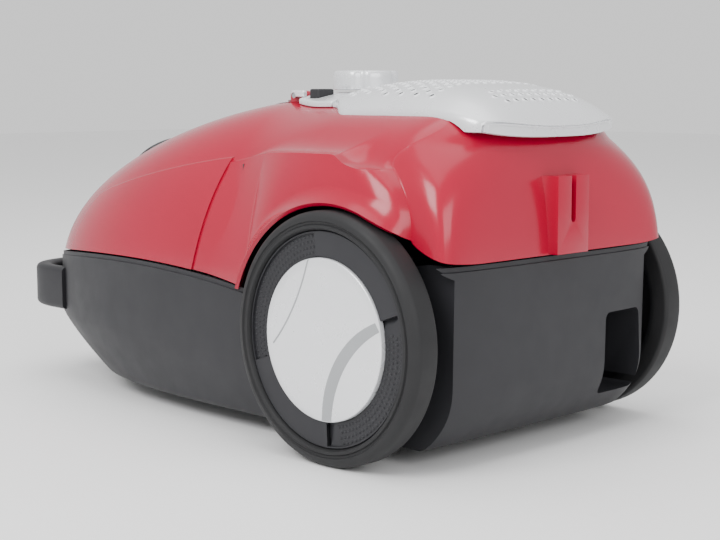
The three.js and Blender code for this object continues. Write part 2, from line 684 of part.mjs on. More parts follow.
function bulkhead() {
  const slab = box(-200, 200, BULKHEAD_Y, BULKHEAD_Y + 3, 0, 300);
  const window = rod(32, -200, 0, "y", [MOTOR.x, 0, MOTOR.z], 28);
  return cut(slab.intersect(cavityForm(WALL + GAP)), window);
}
add("bulkhead", bulkhead(), BLACK);

function plate(x, z, w, h, r, y0, y1) {
  const g = prism(roundRect(x, z, w, h, r), y1 - y0);
  g.rotateX(Math.PI / 2);
  g.translate(0, y1, 0);
  return toSolid(g);
}
add("motor_filter", plate(MOTOR.x, MOTOR.z, 84, 96, 8, BULKHEAD_Y - 8, BULKHEAD_Y - GAP), WHITE);

function dustBag() {
  const rows = 9;
  const cols = 20;
  const profile = [];
  for (let i = 0; i <= rows; i++) {
    const a = (Math.PI * i) / rows - Math.PI / 2;
    const c = Math.pow(Math.max(Math.cos(a), 0), 0.7);
    profile.push([c, Math.sign(Math.sin(a)) * Math.pow(Math.abs(Math.sin(a)), 0.8)]);
  }
  profile[0][0] = 0;
  profile[rows][0] = 0;
  const g = new THREE.LatheGeometry(profile.map(([r, d]) => new THREE.Vector2(r, d)), cols);
  g.scale(BAG.x, BAG.y, BAG.z);
  g.translate(0, BAG.cy, BAG.cz);
  return cut(toSolid(g), portRod(45, -34, 60));
}
add("dust_bag", dustBag(), PAPER);
add("bag_collar", cut(portRod(40, -32, -29), portRod(PORT.bore, -40, 0)), PAPER);
add("bag_holder", cut(portRod(43, -28.6, -25), portRod(PORT.bore + 2, -40, 0)), BLACK);

function lidSeal() {
  const ring = cut(housingForm(WALL + GAP, 0, HOUSING_AROUND), housingForm(WALL + 3.6, 8, HOUSING_AROUND),
    housingForm(WALL - 1, -3, HOUSING_AROUND));
  return cut(ring, box(-200, 200, -168, 200, 0, 300));
}
add("lid_seal", lidSeal(), RUBBER);

// ---------- motor and exhaust ----------
const motorAt = [MOTOR.x, 0, MOTOR.z];
const turnedY = (profile, at, n) => turned(profile, "y", at, n);
add("motor_seal", tube(33, 45, BULKHEAD_Y + 3.4, MOTOR.y0 - GAP, "y", motorAt), RUBBER);
add("motor_housing", turnedY([[20, MOTOR.y0], [MOTOR.r, MOTOR.y0], [MOTOR.r, MOTOR.y0 + 40],
  [MOTOR.r - 8, MOTOR.y0 + 46],
  [MOTOR.r - 8, MOTOR.y1 - 6], [16, MOTOR.y1], [7, MOTOR.y1], [7, MOTOR.y1 - 3], [15, MOTOR.y1 - 3],
  [MOTOR.r - 11, MOTOR.y1 - 8], [MOTOR.r - 11, MOTOR.y0 + 44], [MOTOR.r - 3, MOTOR.y0 + 39],
  [MOTOR.r - 3, MOTOR.y0 + 3],
  [20, MOTOR.y0 + 3], [20, MOTOR.y0]], motorAt, 20), BLACK);
add("motor_impeller", turnedY([[4, MOTOR.y0 + 6], [14, MOTOR.y0 + 6], [18, MOTOR.y0 + 12],
  [46, MOTOR.y0 + 18],
  [46, MOTOR.y0 + 22], [4, MOTOR.y0 + 22], [4, MOTOR.y0 + 6]], motorAt, 28), STEEL);
add("motor_shaft", turnedY([[0, MOTOR.y0 + 2], [3.7, MOTOR.y0 + 2], [3.7, MOTOR.y0 + 56],
  [19, MOTOR.y0 + 56],
  [19, MOTOR.y1 - 18], [3.7, MOTOR.y1 - 18], [3.7, MOTOR.y1 + 2], [0, MOTOR.y1 + 2]], motorAt, 20), STEEL);
add("motor_stator", tube(20, MOTOR.r - 12.4, MOTOR.y0 + 54, MOTOR.y1 - 16, "y", motorAt, 28), COPPER);
add("motor_mount", tube(MOTOR.r - 7.6, MOTOR.r + 4, MOTOR.y1 - 26, MOTOR.y1 - 16, "y", motorAt,
  28), RUBBER);
add("motor_cradle", cut(
  box(MOTOR.x - 36, MOTOR.x + 36, MOTOR.y1 - 28, MOTOR.y1 - 14, 15.5, MOTOR.z - 20),
  rod(MOTOR.r + 4.4, -200, 200, "y", motorAt, 28)), BLACK);
add("exhaust_filter", box(-54, 54, -62, 54, 214, 230), WHITE);

// ---------- cord reel ----------
const reelAt = [0, REEL.y, REEL.z];
add("reel_frame", cut(
  union(box(REEL.x0 - 5, REEL.x0 - 2.9, REEL.y - 16, REEL.y + 16, 16, REEL.z),
    rod(16, REEL.x0 - 5, REEL.x0 - 2.9, "x", reelAt, 20)),
  rod(6.25, -200, 0, "x", reelAt, 20)), STEEL);
const { x0: R0, x1: R1 } = REEL;
add("reel_drum", turned([[6.1, R0], [REEL.r, R0], [REEL.r, R0 + 2.4], [34, R0 + 2.4],
  [34, R1 - 2.4], [REEL.r, R1 - 2.4],
  [REEL.r, R1], [6.1, R1], [6.1, R1 - 4], [30, R1 - 4], [30, R0 + 4], [6.1, R0 + 4], [6.1, R0]],
  "x", reelAt, 20), BLACK);
add("reel_axle", rod(5.9, R0 - 5, R1 + 7, "x", reelAt, 20), STEEL);
add("reel_spring_case", turned([[7, R1 + 0.6], [30, R1 + 0.6], [30, R1 + 6], [7, R1 + 6],
  [7, R1 + 0.6]], "x", reelAt, 24), BLACK);

// The brake: an arm on a pivot, with a roller that presses on the rim of the drum.
const brakeZ = REEL.z + REEL.r + 13;
function brakeArm() {
  const x = R0 + 12;
  const arm = box(x - 2, x + 2, REEL.y - 40, REEL.y + 8, brakeZ - 4, brakeZ + 4);
  const eyes = [rod(6, x - 2, x + 2, "x", [0, REEL.y - 40, brakeZ], 16)];
  return cut(union(arm, ...eyes), rod(3.1, -200, 0, "x", [0, REEL.y - 40, brakeZ], 12),
    rod(2.1, -200, 0, "x", [0, REEL.y, brakeZ], 12));
}
add("brake_arm", brakeArm(), WHITE);
add("brake_pivot", rod(2.9, R0 + 2, R0 + 20, "x", [0, REEL.y - 40, brakeZ], 12), STEEL);
add("brake_roller", union(
  rod(11.5, R0 + 14.6, R0 + 20, "x", [0, REEL.y, brakeZ], 20),
  rod(1.95, R0 + 8, R0 + 16, "x", [0, REEL.y, brakeZ], 12)), RUBBER);

// Origin on the floor under the middle of the machine's length.
machine.position.y = -(HANDLE_Y + BRACKET_Y) / 2;

export default machine;
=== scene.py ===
"""Canister vacuum cleaner: the visual model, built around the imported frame. Blender 4.5, metres."""

import math

import bmesh
import bpy
import numpy as np
from mathutils import Matrix, Vector


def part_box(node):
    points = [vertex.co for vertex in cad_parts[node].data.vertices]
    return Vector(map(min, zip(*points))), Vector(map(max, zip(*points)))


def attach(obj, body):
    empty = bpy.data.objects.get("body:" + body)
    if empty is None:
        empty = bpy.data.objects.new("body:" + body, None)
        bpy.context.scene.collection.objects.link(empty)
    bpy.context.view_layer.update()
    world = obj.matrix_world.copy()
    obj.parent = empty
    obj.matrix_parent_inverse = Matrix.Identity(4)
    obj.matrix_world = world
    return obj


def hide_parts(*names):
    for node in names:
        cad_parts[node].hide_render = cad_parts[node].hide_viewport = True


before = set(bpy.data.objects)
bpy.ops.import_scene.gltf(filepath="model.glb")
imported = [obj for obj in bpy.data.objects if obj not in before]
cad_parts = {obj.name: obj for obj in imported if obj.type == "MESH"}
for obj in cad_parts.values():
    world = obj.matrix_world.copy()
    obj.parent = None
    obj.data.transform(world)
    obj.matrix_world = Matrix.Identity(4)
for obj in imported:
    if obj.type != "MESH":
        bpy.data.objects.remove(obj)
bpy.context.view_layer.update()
MM = 0.001

# The wheel axle's place in the frame, in metres: body sections below are written from it.
AXLE_Y = (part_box("left_hub_cap")[0].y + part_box("left_hub_cap")[1].y) / 2


# ---------- the body's form ----------
# Sections are in millimetres from the wheel axle: x sideways, y rearwards, z above the floor.
TOP_Z, BASE_Z = 241, 107
AXLE_Z = 85
SIDES = (("left", 1), ("right", -1))
LID = {"x": 125.5, "fall": 2.3, "round": 3.08}
NOSE = {"length": 257, "fall": 2, "round": 1.48, "fullness": 2.86}
LID_JOINT = {"y": -160, "z": 118, "lean": 0.3}
HOOD = {"x": 121.5, "fall": 5, "round": 2.4}
REAR_MID = 20
FENDER_END = 55.5
REAR_JOINT_Z = 137.5
ARCH = {"y": -3, "z": 77.5, "r": 97, "lip_x": 141, "flare": 11, "foot_z": 110.6}


def smooth(a, b, v):
    t = np.clip((np.asarray(v, float) - a) / (b - a), 0, 1)
    return t * t * (3 - 2 * t)


def mix(a, b, t):
    return a + (b - a) * t


def bow(r, m, n):
    """A superelliptic fall from 1 at r = 0 to 0 at r = 1."""
    return np.maximum(1 - np.clip(r, 0, 1) ** m, 0) ** (1 / n)


def rise(z):
    """Relative height on the hood: 0 at its base and 1 at its top."""
    return (z - BASE_Z) / (TOP_Z - BASE_Z)


def lid_joint_y(z):
    """The plane where the lid meets the rear cover."""
    return LID_JOINT["y"] + LID_JOINT["lean"] * (z - LID_JOINT["z"])


def joint_z(y):
    """The joint line between the red shells and the housing."""
    front = np.where(y < -240, 119 - 12 * ((y + 240) / 180) ** 2, 119 - 11 * ((y + 240) / 150) ** 2)
    return mix(front, REAR_JOINT_Z, smooth(-88, 60, y))


def lid_half(r):
    """Half width of the lid at relative height r."""
    return LID["x"] * bow(r, LID["fall"], LID["round"])


def nose_length(r):
    """How far the nose reaches from the lid's joint at relative height r."""
    return NOSE["length"] * bow(r, NOSE["fall"], NOSE["round"])


def hood_half(r, y):
    """Half width of the upper hood at relative height r."""
    return mix(lid_half(r), HOOD["x"] * bow(r, HOOD["fall"], HOOD["round"]), smooth(-130, -50, y))


def crease_z(y):
    """The character line from the nose to the fender."""
    z = 205.5 - 0.00207 * np.maximum(-35 - y, 0) ** 1.767 - 0.004 * np.maximum(-290 - y, 0) ** 2
    return z - 9 * smooth(8, 42, y)


def rear_shape(z):
    """How far the rear reaches behind its middle, and how full its outline is."""
    r = rise(z)
    q = np.maximum(216 - z, 0)
    return 65 * bow(r, 3.6, 3), 3 + 0.12 * q + 0.0023 * q * q


def body_half(y, z):
    """Half width of the body without the fender."""
    half = hood_half(rise(z), y)
    length, fullness = rear_shape(z)
    u = np.clip((y - REAR_MID) / np.maximum(length, 1e-6), 0, 1)
    return half * np.maximum(1 - u**fullness, 0) ** (1 / fullness)


def fender_line(z):
    """How far the fender's rear end reaches at height z."""
    return FENDER_END - 0.0148 * np.clip(z - 158, 0, 42) ** 2


def arch_z(y):
    """The lower edge of the rear cover: the wheel arch, then the joint line behind it."""
    u = np.clip((y - ARCH["y"]) / ARCH["r"], -1, 1)
    circle = np.where(np.abs(y - ARCH["y"]) < ARCH["r"], ARCH["z"] + ARCH["r"] * np.sqrt(1 - u * u), 0)
    circle = mix(circle, REAR_JOINT_Z, smooth(52, 68, y))
    return np.maximum(joint_z(y), circle)


# ---------- mesh helpers ----------
def placed(name, data):
    obj = bpy.data.objects.new(name, data)
    bpy.context.scene.collection.objects.link(obj)
    return obj


def new_object(name, verts, faces, sharp_deg=35):
    """A mesh object from millimetre points in the axle's frame."""
    mesh = bpy.data.meshes.new(name)
    place = np.asarray(verts, float) * MM + np.array([0, AXLE_Y, 0])
    mesh.from_pydata(place.tolist(), [], faces)
    mesh.update()
    obj = placed(name, mesh)
    clean(obj, sharp_deg)
    return obj


def clean(obj, sharp_deg=35):
    """Merge doubled points, turn every face outwards and mark the sharp edges."""
    bm = bmesh.new()
    bm.from_mesh(obj.data)
    bmesh.ops.remove_doubles(bm, verts=bm.verts, dist=2e-6)
    bmesh.ops.dissolve_degenerate(bm, dist=1e-6, edges=bm.edges)
    bmesh.ops.recalc_face_normals(bm, faces=bm.faces)
    for face in bm.faces:
        face.smooth = True
    for edge in bm.edges:
        edge.smooth = len(edge.link_faces) != 2 or edge.calc_face_angle(0) < math.radians(sharp_deg)
    bm.to_mesh(obj.data)
    bm.free()


def grid_faces(rows, cols, wrap=False):
    """Faces between neighbouring rows of points, closed round each row if wrap is set."""
    out = []
    for k in range(rows - 1):
        for i in range(cols if wrap else cols - 1):
            j = (i + 1) % cols
            out.append((k * cols + i, k * cols + j, (k + 1) * cols + j, (k + 1) * cols + i))
    return out


def tube_faces(rows, cols):
    """Faces of a closed tube with both ends capped."""
    last = (rows - 1) * cols
    return grid_faces(rows, cols, True) + [tuple(range(cols)), tuple(range(last, last + cols))[::-1]]


def arc(cx, cy, radius, start, stop, steps):
    angles = [math.radians(mix(start, stop, k / steps)) for k in range(steps + 1)]
    return [(cx + radius * math.cos(a), cy + radius * math.sin(a)) for a in angles]


def stud_faces(at, rings, sides):
    """Walls and foot of a small stack of rings whose points start at an index."""
    faces = grid_faces(rings, sides, True) + [tuple(range(sides))[::-1]]
    return [tuple(at + i for i in f) for f in faces]


def apply_modifiers(obj, sharp_deg=35):
    deps = bpy.context.evaluated_depsgraph_get()
    mesh = bpy.data.meshes.new_from_object(obj.evaluated_get(deps))
    obj.modifiers.clear()
    old = obj.data
    obj.data = mesh
    bpy.data.meshes.remove(old)
    clean(obj, sharp_deg)
    return obj


def thicken(obj, thickness, offset=-1):
    mod = obj.modifiers.new("wall", "SOLIDIFY")
    mod.thickness = thickness * MM
    mod.offset = offset
    mod.use_even_offset = False
    return apply_modifiers(obj)


def boolean(obj, tool, operation="DIFFERENCE"):
    """Cut, join or keep the overlap of an object with a tool, which is used up."""
    mod = obj.modifiers.new("cut", "BOOLEAN")
    mod.operation = operation
    mod.solver = "MANIFOLD"
    mod.object = tool
    apply_modifiers(obj)
    bpy.data.objects.remove(tool)
    return obj


def add_bevel(obj, width, segments, angle):
    mod = obj.modifiers.new("edge", "BEVEL")
    mod.width = width * MM
    mod.segments = segments
    mod.limit_method = "ANGLE"
    mod.angle_limit = math.radians(angle)


def bevel(obj, width, segments=2, angle=40):
    add_bevel(obj, width, segments, angle)
    return apply_modifiers(obj)


def rod(name, radius, start, stop, axis, at, segments=32):
    """A plain cylinder between two places along its axis."""
    return turned(name, [(0, start), (radius, start), (radius, stop), (0, stop)], axis, at, segments)


def pair(s, a, b):
    """Two distances from the middle, on side s, in rising order."""
    return sorted((s * a, s * b))


def box_object(name, x, y, z):
    verts = [(a, b, c) for c in z for b in y for a in x]
    faces = [(0, 2, 3, 1), (4, 5, 7, 6), (0, 1, 5, 4), (2, 6, 7, 3), (0, 4, 6, 2), (1, 3, 7, 5)]
    return new_object(name, verts, faces)


def turned(name, profile, axis, at, segments=96, sharp_deg=35):
    """A closed turned solid.

    The profile is (radius, distance along the axis) pairs, in a closed loop or from axis to axis.
    """
    count = len(profile)
    verts = []
    for i in range(segments):
        a = 2 * math.pi * i / segments
        c, s = math.cos(a), math.sin(a)
        for r, d in profile:
            p = {"x": (d, r * c, r * s), "y": (r * s, d, r * c), "z": (r * c, r * s, d)}[axis]
            verts.append([p[k] + at[k] for k in range(3)])
    closed = profile[0][0] > 1e-6
    faces = []
    for i in range(segments):
        j = (i + 1) % segments
        for k in range(count if closed else count - 1):
            m = (k + 1) % count
            faces.append((i * count + k, j * count + k, j * count + m, i * count + m))
    return new_object(name, verts, faces, sharp_deg)


# ---------- materials ----------
# Tone and gloss change between these values of the noise.
NOISE_LOW, NOISE_HIGH = 0.3, 0.7


def finish_nodes(name):
    mat = bpy.data.materials.new(name)
    mat.use_nodes = True
    tree = mat.node_tree
    return mat, tree, tree.nodes["Principled BSDF"], tree.nodes.new("ShaderNodeTexCoord").outputs["Object"]


def noise(tree, where, scale, detail=3.0, rough=0.5):
    node = tree.nodes.new("ShaderNodeTexNoise")
    node.inputs["Scale"].default_value = scale
    node.inputs["Detail"].default_value = detail
    node.inputs["Roughness"].default_value = rough
    tree.links.new(where, node.inputs["Vector"])
    return node.outputs["Fac"]


def tone(tree, value, dark, light, shader):
    """Base colour between two tones."""
    node = tree.nodes.new("ShaderNodeValToRGB")
    stops = ((NOISE_LOW, dark), (NOISE_HIGH, light))
    for element, (position, color) in zip(node.color_ramp.elements, stops):
        element.position = position
        element.color = (*color, 1)
    tree.links.new(value, node.inputs["Fac"])
    tree.links.new(node.outputs["Color"], shader.inputs["Base Color"])


def gloss(tree, value, low, high, shader):
    """Roughness between two values."""
    node = tree.nodes.new("ShaderNodeMapRange")
    node.inputs["From Min"].default_value = NOISE_LOW
    node.inputs["From Max"].default_value = NOISE_HIGH
    node.inputs["To Min"].default_value = low
    node.inputs["To Max"].default_value = high
    tree.links.new(value, node.inputs["Value"])
    tree.links.new(node.outputs["Result"], shader.inputs["Roughness"])


def bump(tree, height, strength, distance, shader):
    node = tree.nodes.new("ShaderNodeBump")
    node.inputs["Strength"].default_value = strength
    node.inputs["Distance"].default_value = distance
    tree.links.new(height, node.inputs["Height"])
    tree.links.new(node.outputs["Normal"], shader.inputs["Normal"])


def moulded(name, color, rough=(0.3, 0.36), grain=900, depth=0.00002, vary=0.06,
            metallic=0.0, coat=0.0, specular=0.5):
    """Moulded plastic, rubber or metal: a slightly uneven tone, uneven gloss and a fine surface grain."""
    mat, tree, shader, where = finish_nodes(name)
    dark, light = [c * (1 - vary) for c in color], [min(c * (1 + vary), 1) for c in color]
    tone(tree, noise(tree, where, 14), dark, light, shader)
    gloss(tree, noise(tree, where, 60, 4), *rough, shader)
    bump(tree, noise(tree, where, grain, 2), 0.5, depth, shader)
    shader.inputs["Metallic"].default_value = metallic
    shader.inputs["Coat Weight"].default_value = coat
    shader.inputs["Coat Roughness"].default_value = 0.12
    shader.inputs["Specular IOR Level"].default_value = specular
    return mat


def brushed(name, color, rough, stretch):
    """Metal with fine marks that run along one direction."""
    mat, tree, shader, where = finish_nodes(name)
    mapping = tree.nodes.new("ShaderNodeMapping")
    mapping.inputs["Scale"].default_value = stretch
    tree.links.new(where, mapping.inputs["Vector"])
    marks = noise(tree, mapping.outputs["Vector"], 400, 5)
    tone(tree, marks, [c * 0.8 for c in color], color, shader)
    gloss(tree, marks, rough, rough + 0.12, shader)
    bump(tree, marks, 0.3, 0.00002, shader)
    shader.inputs["Metallic"].default_value = 1.0
    return mat


def fibrous(name, color, scale, depth):
    """Non-woven filter cloth or pressed card: tangled fibres with a soft sheen."""
    mat, tree, shader, where = finish_nodes(name)
    fibres = noise(tree, where, scale, 8, 0.75)
    cells = tree.nodes.new("ShaderNodeTexVoronoi")
    cells.inputs["Scale"].default_value = scale * 1.7
    tree.links.new(where, cells.inputs["Vector"])
    mixed = tree.nodes.new("ShaderNodeMath")
    mixed.operation = "MULTIPLY"
    tree.links.new(fibres, mixed.inputs[0])
    tree.links.new(cells.outputs["Distance"], mixed.inputs[1])
    tone(tree, fibres, [c * 0.82 for c in color], color, shader)
    gloss(tree, fibres, 0.8, 0.95, shader)
    bump(tree, mixed.outputs["Value"], 0.8, depth, shader)
    shader.inputs["Sheen Weight"].default_value = 0.3
    return mat


FINISHES = {
    "gloss_red": moulded(
        "gloss_red", (0.36, 0.0, 0.024), (0.2, 0.24), 700, 0.000004, 0.03, coat=0.22, specular=0.34),
    "charcoal_plastic": moulded(
        "charcoal_plastic", (0.02, 0.02, 0.023), (0.46, 0.54), 1500, 0.00004, specular=0.32),
    "silver_plastic": moulded(
        "silver_plastic", (0.76, 0.77, 0.79), (0.26, 0.32), 1800, 0.000008, 0.02, 0.35, 0.3),
    "tyre_rubber": moulded("tyre_rubber", (0.014, 0.014, 0.015), (0.52, 0.62), 1200, 0.00005, specular=0.3),
    "seal_rubber": moulded("seal_rubber", (0.02, 0.02, 0.021), (0.6, 0.7), 1400, 0.00005),
    "black_plastic": moulded("black_plastic", (0.018, 0.018, 0.02), (0.36, 0.44), 1300, 0.00003),
    "steel": brushed("steel", (0.6, 0.6, 0.62), 0.22, (1, 0.1, 1)),
    "cast_aluminium": moulded("cast_aluminium", (0.68, 0.69, 0.7), (0.4, 0.55), 500, 0.00012, 0.08, 1.0),
    "stator_iron": brushed("stator_iron", (0.36, 0.2, 0.12), 0.4, (0.1, 3, 0.1)),
    "white_plastic": moulded("white_plastic", (0.78, 0.78, 0.76), (0.35, 0.45), 1000, 0.00002),
    "filter_fabric": fibrous("filter_fabric", (0.84, 0.83, 0.79), 900, 0.00008),
    "bag_card": fibrous("bag_card", (0.55, 0.42, 0.27), 260, 0.0001),
    "circuit_board": moulded("circuit_board", (0.02, 0.16, 0.06), (0.25, 0.35), 300, 0.00003, 0.15, coat=0.4),
}
# Grey for the wheel cap's strips: the broad band's own colour, and painted shade for the thin line that
# stands for a groove.
CAP_GREY_AND_GROOVE_SHADE = moulded("cap_grey_and_groove_shade", (0.3, 0.31, 0.32), (0.34, 0.4), 1500, 0.00001, 0.04)
# Painted shade: a dark finish for the floors of the grille's dimple cups, standing in for the shadow inside
# them.
DIMPLE_PAINTED_SHADE = moulded("dimple_painted_shade", (0.05, 0.052, 0.055), (0.45, 0.55), 900, 0.00002, 0.1)

SLOT_NODES = {
    "gloss_red": "front_lid rear_cover parking_bracket",
    "charcoal_plastic": "lower_housing front_handle lid_latch power_key rewind_key left_wheel_disc "
                        "right_wheel_disc caster_fork",
    "silver_plastic": "exhaust_grille console_panel lid_trim power_knob left_hub_cap right_hub_cap",
    "tyre_rubber": "left_tyre right_tyre caster_wheel brake_roller",
    "seal_rubber": "lid_seal motor_seal motor_mount",
    "black_plastic": "hose_port potentiometer power_switch cord_outlet bulkhead motor_housing "
                     "motor_cradle reel_drum reel_spring_case bag_holder",
    "steel": "hinge_pin_left hinge_pin_right housing_screw_1 housing_screw_2 housing_screw_3 "
             "housing_screw_4 left_wheel_axle left_axle_clip right_wheel_axle right_axle_clip "
             "caster_pin reel_axle reel_frame brake_pivot motor_shaft",
    "cast_aluminium": "motor_impeller",
    "stator_iron": "motor_stator",
    "white_plastic": "brake_arm",
    "filter_fabric": "motor_filter exhaust_filter dust_bag",
    "bag_card": "bag_collar",
    "circuit_board": "control_board",
}


def finish_cad_nodes():
    """Every CAD node that stays visible gets its slot's finish and slightly rounded edges."""
    for slot, names in SLOT_NODES.items():
        for name in names.split():
            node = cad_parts[name]
            node.data.materials.clear()
            node.data.materials.append(FINISHES[slot])
            add_bevel(node, 0.4, 2, 50)


def piece(obj, slot, body, *nodes, look=None):
    """Dress an object, hang it on the body it rides on and hide the CAD nodes it stands for."""
    obj.data.materials.clear()
    obj.data.materials.append(look or FINISHES[slot])
    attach(obj, body)
    if nodes:
        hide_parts(*nodes)
    return obj


# ---------- camera, light and floor ----------
def make_camera():
    data = bpy.data.cameras.new("camera")
    data.sensor_width = 36
    data.lens = 74
    cam = placed("camera", data)
    yaw, pitch = 2.3544, 0.1237
    forward = Vector((-math.sin(yaw) * math.cos(pitch), math.cos(yaw) * math.cos(pitch), -math.sin(pitch)))
    cam.location = (0.80558, 0.69157 + AXLE_Y, 0.25009)
    cam.rotation_euler = forward.to_track_quat("-Z", "Y").to_euler()
    bpy.context.scene.camera = cam


def area_light(name, place, size, power):
    """A lamp that faces the middle of the object."""
    data = bpy.data.lights.new(name, "AREA")
    data.shape = "RECTANGLE"
    data.size, data.size_y = size
    data.energy = power
    lamp = placed(name, data)
    lamp.location = place
    lamp.rotation_euler = (Vector((0, 0, 0.12)) - Vector(place)).to_track_quat("-Z", "Y").to_euler()


def make_studio():
    world = bpy.data.worlds.new("studio")
    bpy.context.scene.world = world
    world.use_nodes = True
    back = world.node_tree.nodes["Background"]
    back.inputs["Color"].default_value = (1, 1, 1, 1)
    back.inputs["Strength"].default_value = 1.0
    area_light("key", (1.6, 0.2, 1.5), (1.0, 1.0), 34)
    area_light("rear", (0.5, 2.2, 1.1), (1.6, 1.0), 20)
    area_light("top", (0, 0, 2.2), (2, 2), 22)
    make_floor(6)


def make_floor(size):
    mesh = bpy.data.meshes.new("floor")
    corners = [(-size, -size, 0), (size, -size, 0), (size, size, 0), (-size, size, 0)]
    mesh.from_pydata(corners, [], [(0, 1, 2, 3)])
    floor = placed("floor", mesh)
    mat = bpy.data.materials.new("floor")
    mat.use_nodes = True
    shader = mat.node_tree.nodes["Principled BSDF"]
    shader.inputs["Base Color"].default_value = (0.92, 0.92, 0.92, 1)
    shader.inputs["Roughness"].default_value = 0.6
    floor.data.materials.append(mat)


# ---------- red shells ----------
FLANK_ROWS, SHELF_ROWS, HOOD_ROWS, CORNER_STEPS = 30, 7, 30, 46
PROUD, SHELF_RISE = 1.3, 1.2
FENDER_X, FENDER_ROUND = 128, 24
SHELL_WALL = 2.6


def crease_half(y):
    """Half width at the character line: just proud of the lid, and out over the wheel at the fender."""
    flush = body_half(y, crease_z(y)) + PROUD * smooth(-400, -250, y)
    return mix(flush, FENDER_X, smooth(-138, -15, y))


def flank_half(y, z, low_z):
    """Half width of the flank between the lower edge and the character line."""
    top_z = crease_z(np.minimum(y, 20))
    t = np.clip((z - low_z) / np.maximum(top_z - low_z, 1e-6), 0, 1)
    low = mix(LID["x"], 134, smooth(-150, -60, y))
    x = mix(low, crease_half(np.minimum(y, 10)), t**1.7)
    away = np.hypot(y - ARCH["y"], z - ARCH["z"]) - ARCH["r"]
    lip = np.clip(1 - away / ARCH["flare"], 0, 1) ** 2 * smooth(-118, -104, y)
    return x + (ARCH["lip_x"] - x) * np.where(away < ARCH["flare"], lip, 0)


def fender_share(y, z):
    """1 on the fender, rounding down to 0 at its rear end."""
    u = np.clip((y - fender_line(z) + FENDER_ROUND) / FENDER_ROUND, 0, 1)
    return np.sqrt(np.maximum(1 - u * u, 0))


def shift_y(y, z):
    """Grid lines lean to follow the lid's joint at the front and the fender's end at the rear."""
    lean = LID_JOINT["lean"] * np.exp(-(((y - LID_JOINT["y"]) / 45) ** 2))
    tail = smooth(-40, 34, y) * (1 - smooth(56, 84, y))
    return y + lean * (z - LID_JOINT["z"]) + tail * (fender_line(z) - FENDER_END) * (1 - smooth(204, 226, z))


def side_ys():
    """Places along the side, closer together where the wheel arch starts."""
    arch_front = ARCH["y"] - math.sqrt(ARCH["r"] ** 2 - (ARCH["foot_z"] - ARCH["z"]) ** 2)
    front = np.linspace(LID_JOINT["y"], arch_front, 30, endpoint=False)
    near = arch_front + 10 * np.linspace(0, 1, 12, endpoint=False) ** 1.5
    return np.concatenate([front, near, np.linspace(arch_front + 10, FENDER_END, 84), [FENDER_END + 0.3]])


def rear_half_grid():
    """Rows of points for the +X half of the rear cover, from the lid's joint round to the rear's middle."""
    ys = side_ys()
    low = arch_z(ys)
    for _ in range(6):
        low = arch_z(shift_y(ys, low))
    crest = crease_z(ys)
    rows = []
    for k in range(FLANK_ROWS + 1):
        z = mix(low, crest, k / FLANK_ROWS)
        rows.append(side_row(ys, z, low, 1.0))
    for k in range(1, SHELF_ROWS + 1):
        s = k / SHELF_ROWS
        step = np.maximum(crease_half(ys) - body_half(ys, crest), 0.5)
        z = crest + np.minimum(step, 16) * s**1.8
        rows.append(side_row(ys, z, low, (1 - s) ** 2.4))
    base = rows[-1][:, 2]
    for k in range(1, HOOD_ROWS + 1):
        z = base + (TOP_Z - base) * math.sin(k / HOOD_ROWS * math.pi / 2)
        rows.append(side_row(ys, z, low, 0.0))
    return np.array([np.concatenate([row, corner_row(row[-1], rows[0][-1, 2])]) for row in rows])


def side_row(ys, z, low, proud):
    """One row along the side. Proud is the share of the fender's overhang that it keeps."""
    y = shift_y(ys, z)
    reach = np.minimum(0.62 * rear_shape(z)[0] / (FENDER_END - REAR_MID), 1)
    y = np.where(y > REAR_MID, REAR_MID + (y - REAR_MID) * reach, y)
    body = body_half(y, z)
    over = np.maximum(flank_half(y, np.minimum(z, crease_z(ys)), low) - body, 0)
    return np.stack([body + over * fender_share(y, z) * proud, y, z], -1)


def corner_row(last, low):
    """From the end of a side row round the rear corner to the middle, sinking to the rear joint line."""
    x0, y0, z0 = last
    length, fullness = rear_shape(z0)
    half = hood_half(rise(z0), 60)
    if z0 > TOP_Z - 1e-6:
        return np.array([(0, REAR_MID, z0)] * CORNER_STEPS)
    start = math.atan2(y0 - REAR_MID, max(x0, 1e-6))
    out = []
    for i in range(1, CORNER_STEPS + 1):
        share = i / CORNER_STEPS
        a = mix(start, math.pi / 2, share**1.35)
        c, s = abs(math.cos(a)), math.sin(a)
        r = ((c / half) ** fullness + (s / length) ** fullness) ** (-1 / fullness)
        sink = math.sin(min(share / 0.4, 1) * math.pi / 2)
        z = z0 - (low - REAR_JOINT_Z) * (TOP_Z - z0) / (TOP_Z - low) * sink
        out.append((r * c if i < CORNER_STEPS else 0, REAR_MID + r * s, z))
    return np.array(out)


def nose_half_grid():
    """Rows for the +X half of the lid, from the nose's middle round to the joint with the rear cover."""
    angles = np.linspace(0, math.pi / 2, 96)
    rows = []

    def row(z, proud):
        r = rise(z)
        n = NOSE["fullness"]
        across = np.sin(angles) / np.maximum(lid_half(r), 1e-9)
        along = np.cos(angles) / np.maximum(nose_length(r), 1e-9)
        with np.errstate(divide="ignore"):
            reach = (across**n + along**n) ** (-1 / n)
        x, back = reach * np.sin(angles), reach * np.cos(angles)
        y = lid_joint_y(z) - back
        return np.stack([x + proud * smooth(-400, -250, y) * (x > 1), y, z], -1)

    def solve(height):
        z = np.full(angles.shape, 120.0)
        for _ in range(25):
            z = 0.5 * z + 0.5 * height(row(z, 0)[:, 1])
        return np.maximum(z, BASE_Z + 0.05)

    low = solve(joint_z)
    crest = np.maximum(solve(crease_z), low + 2)
    for k in range(FLANK_ROWS + 1):
        rows.append(row(mix(low, crest, k / FLANK_ROWS), PROUD))
    for k in range(1, SHELF_ROWS + 1):
        s = k / SHELF_ROWS
        rows.append(row(crest + SHELF_RISE * s, PROUD * (1 - s) ** 2))
    base = crest + SHELF_RISE
    for k in range(1, HOOD_ROWS + 1):
        rows.append(row(base + (TOP_Z - base) * math.sin(k / HOOD_ROWS * math.pi / 2), 0))
    return np.array(rows)


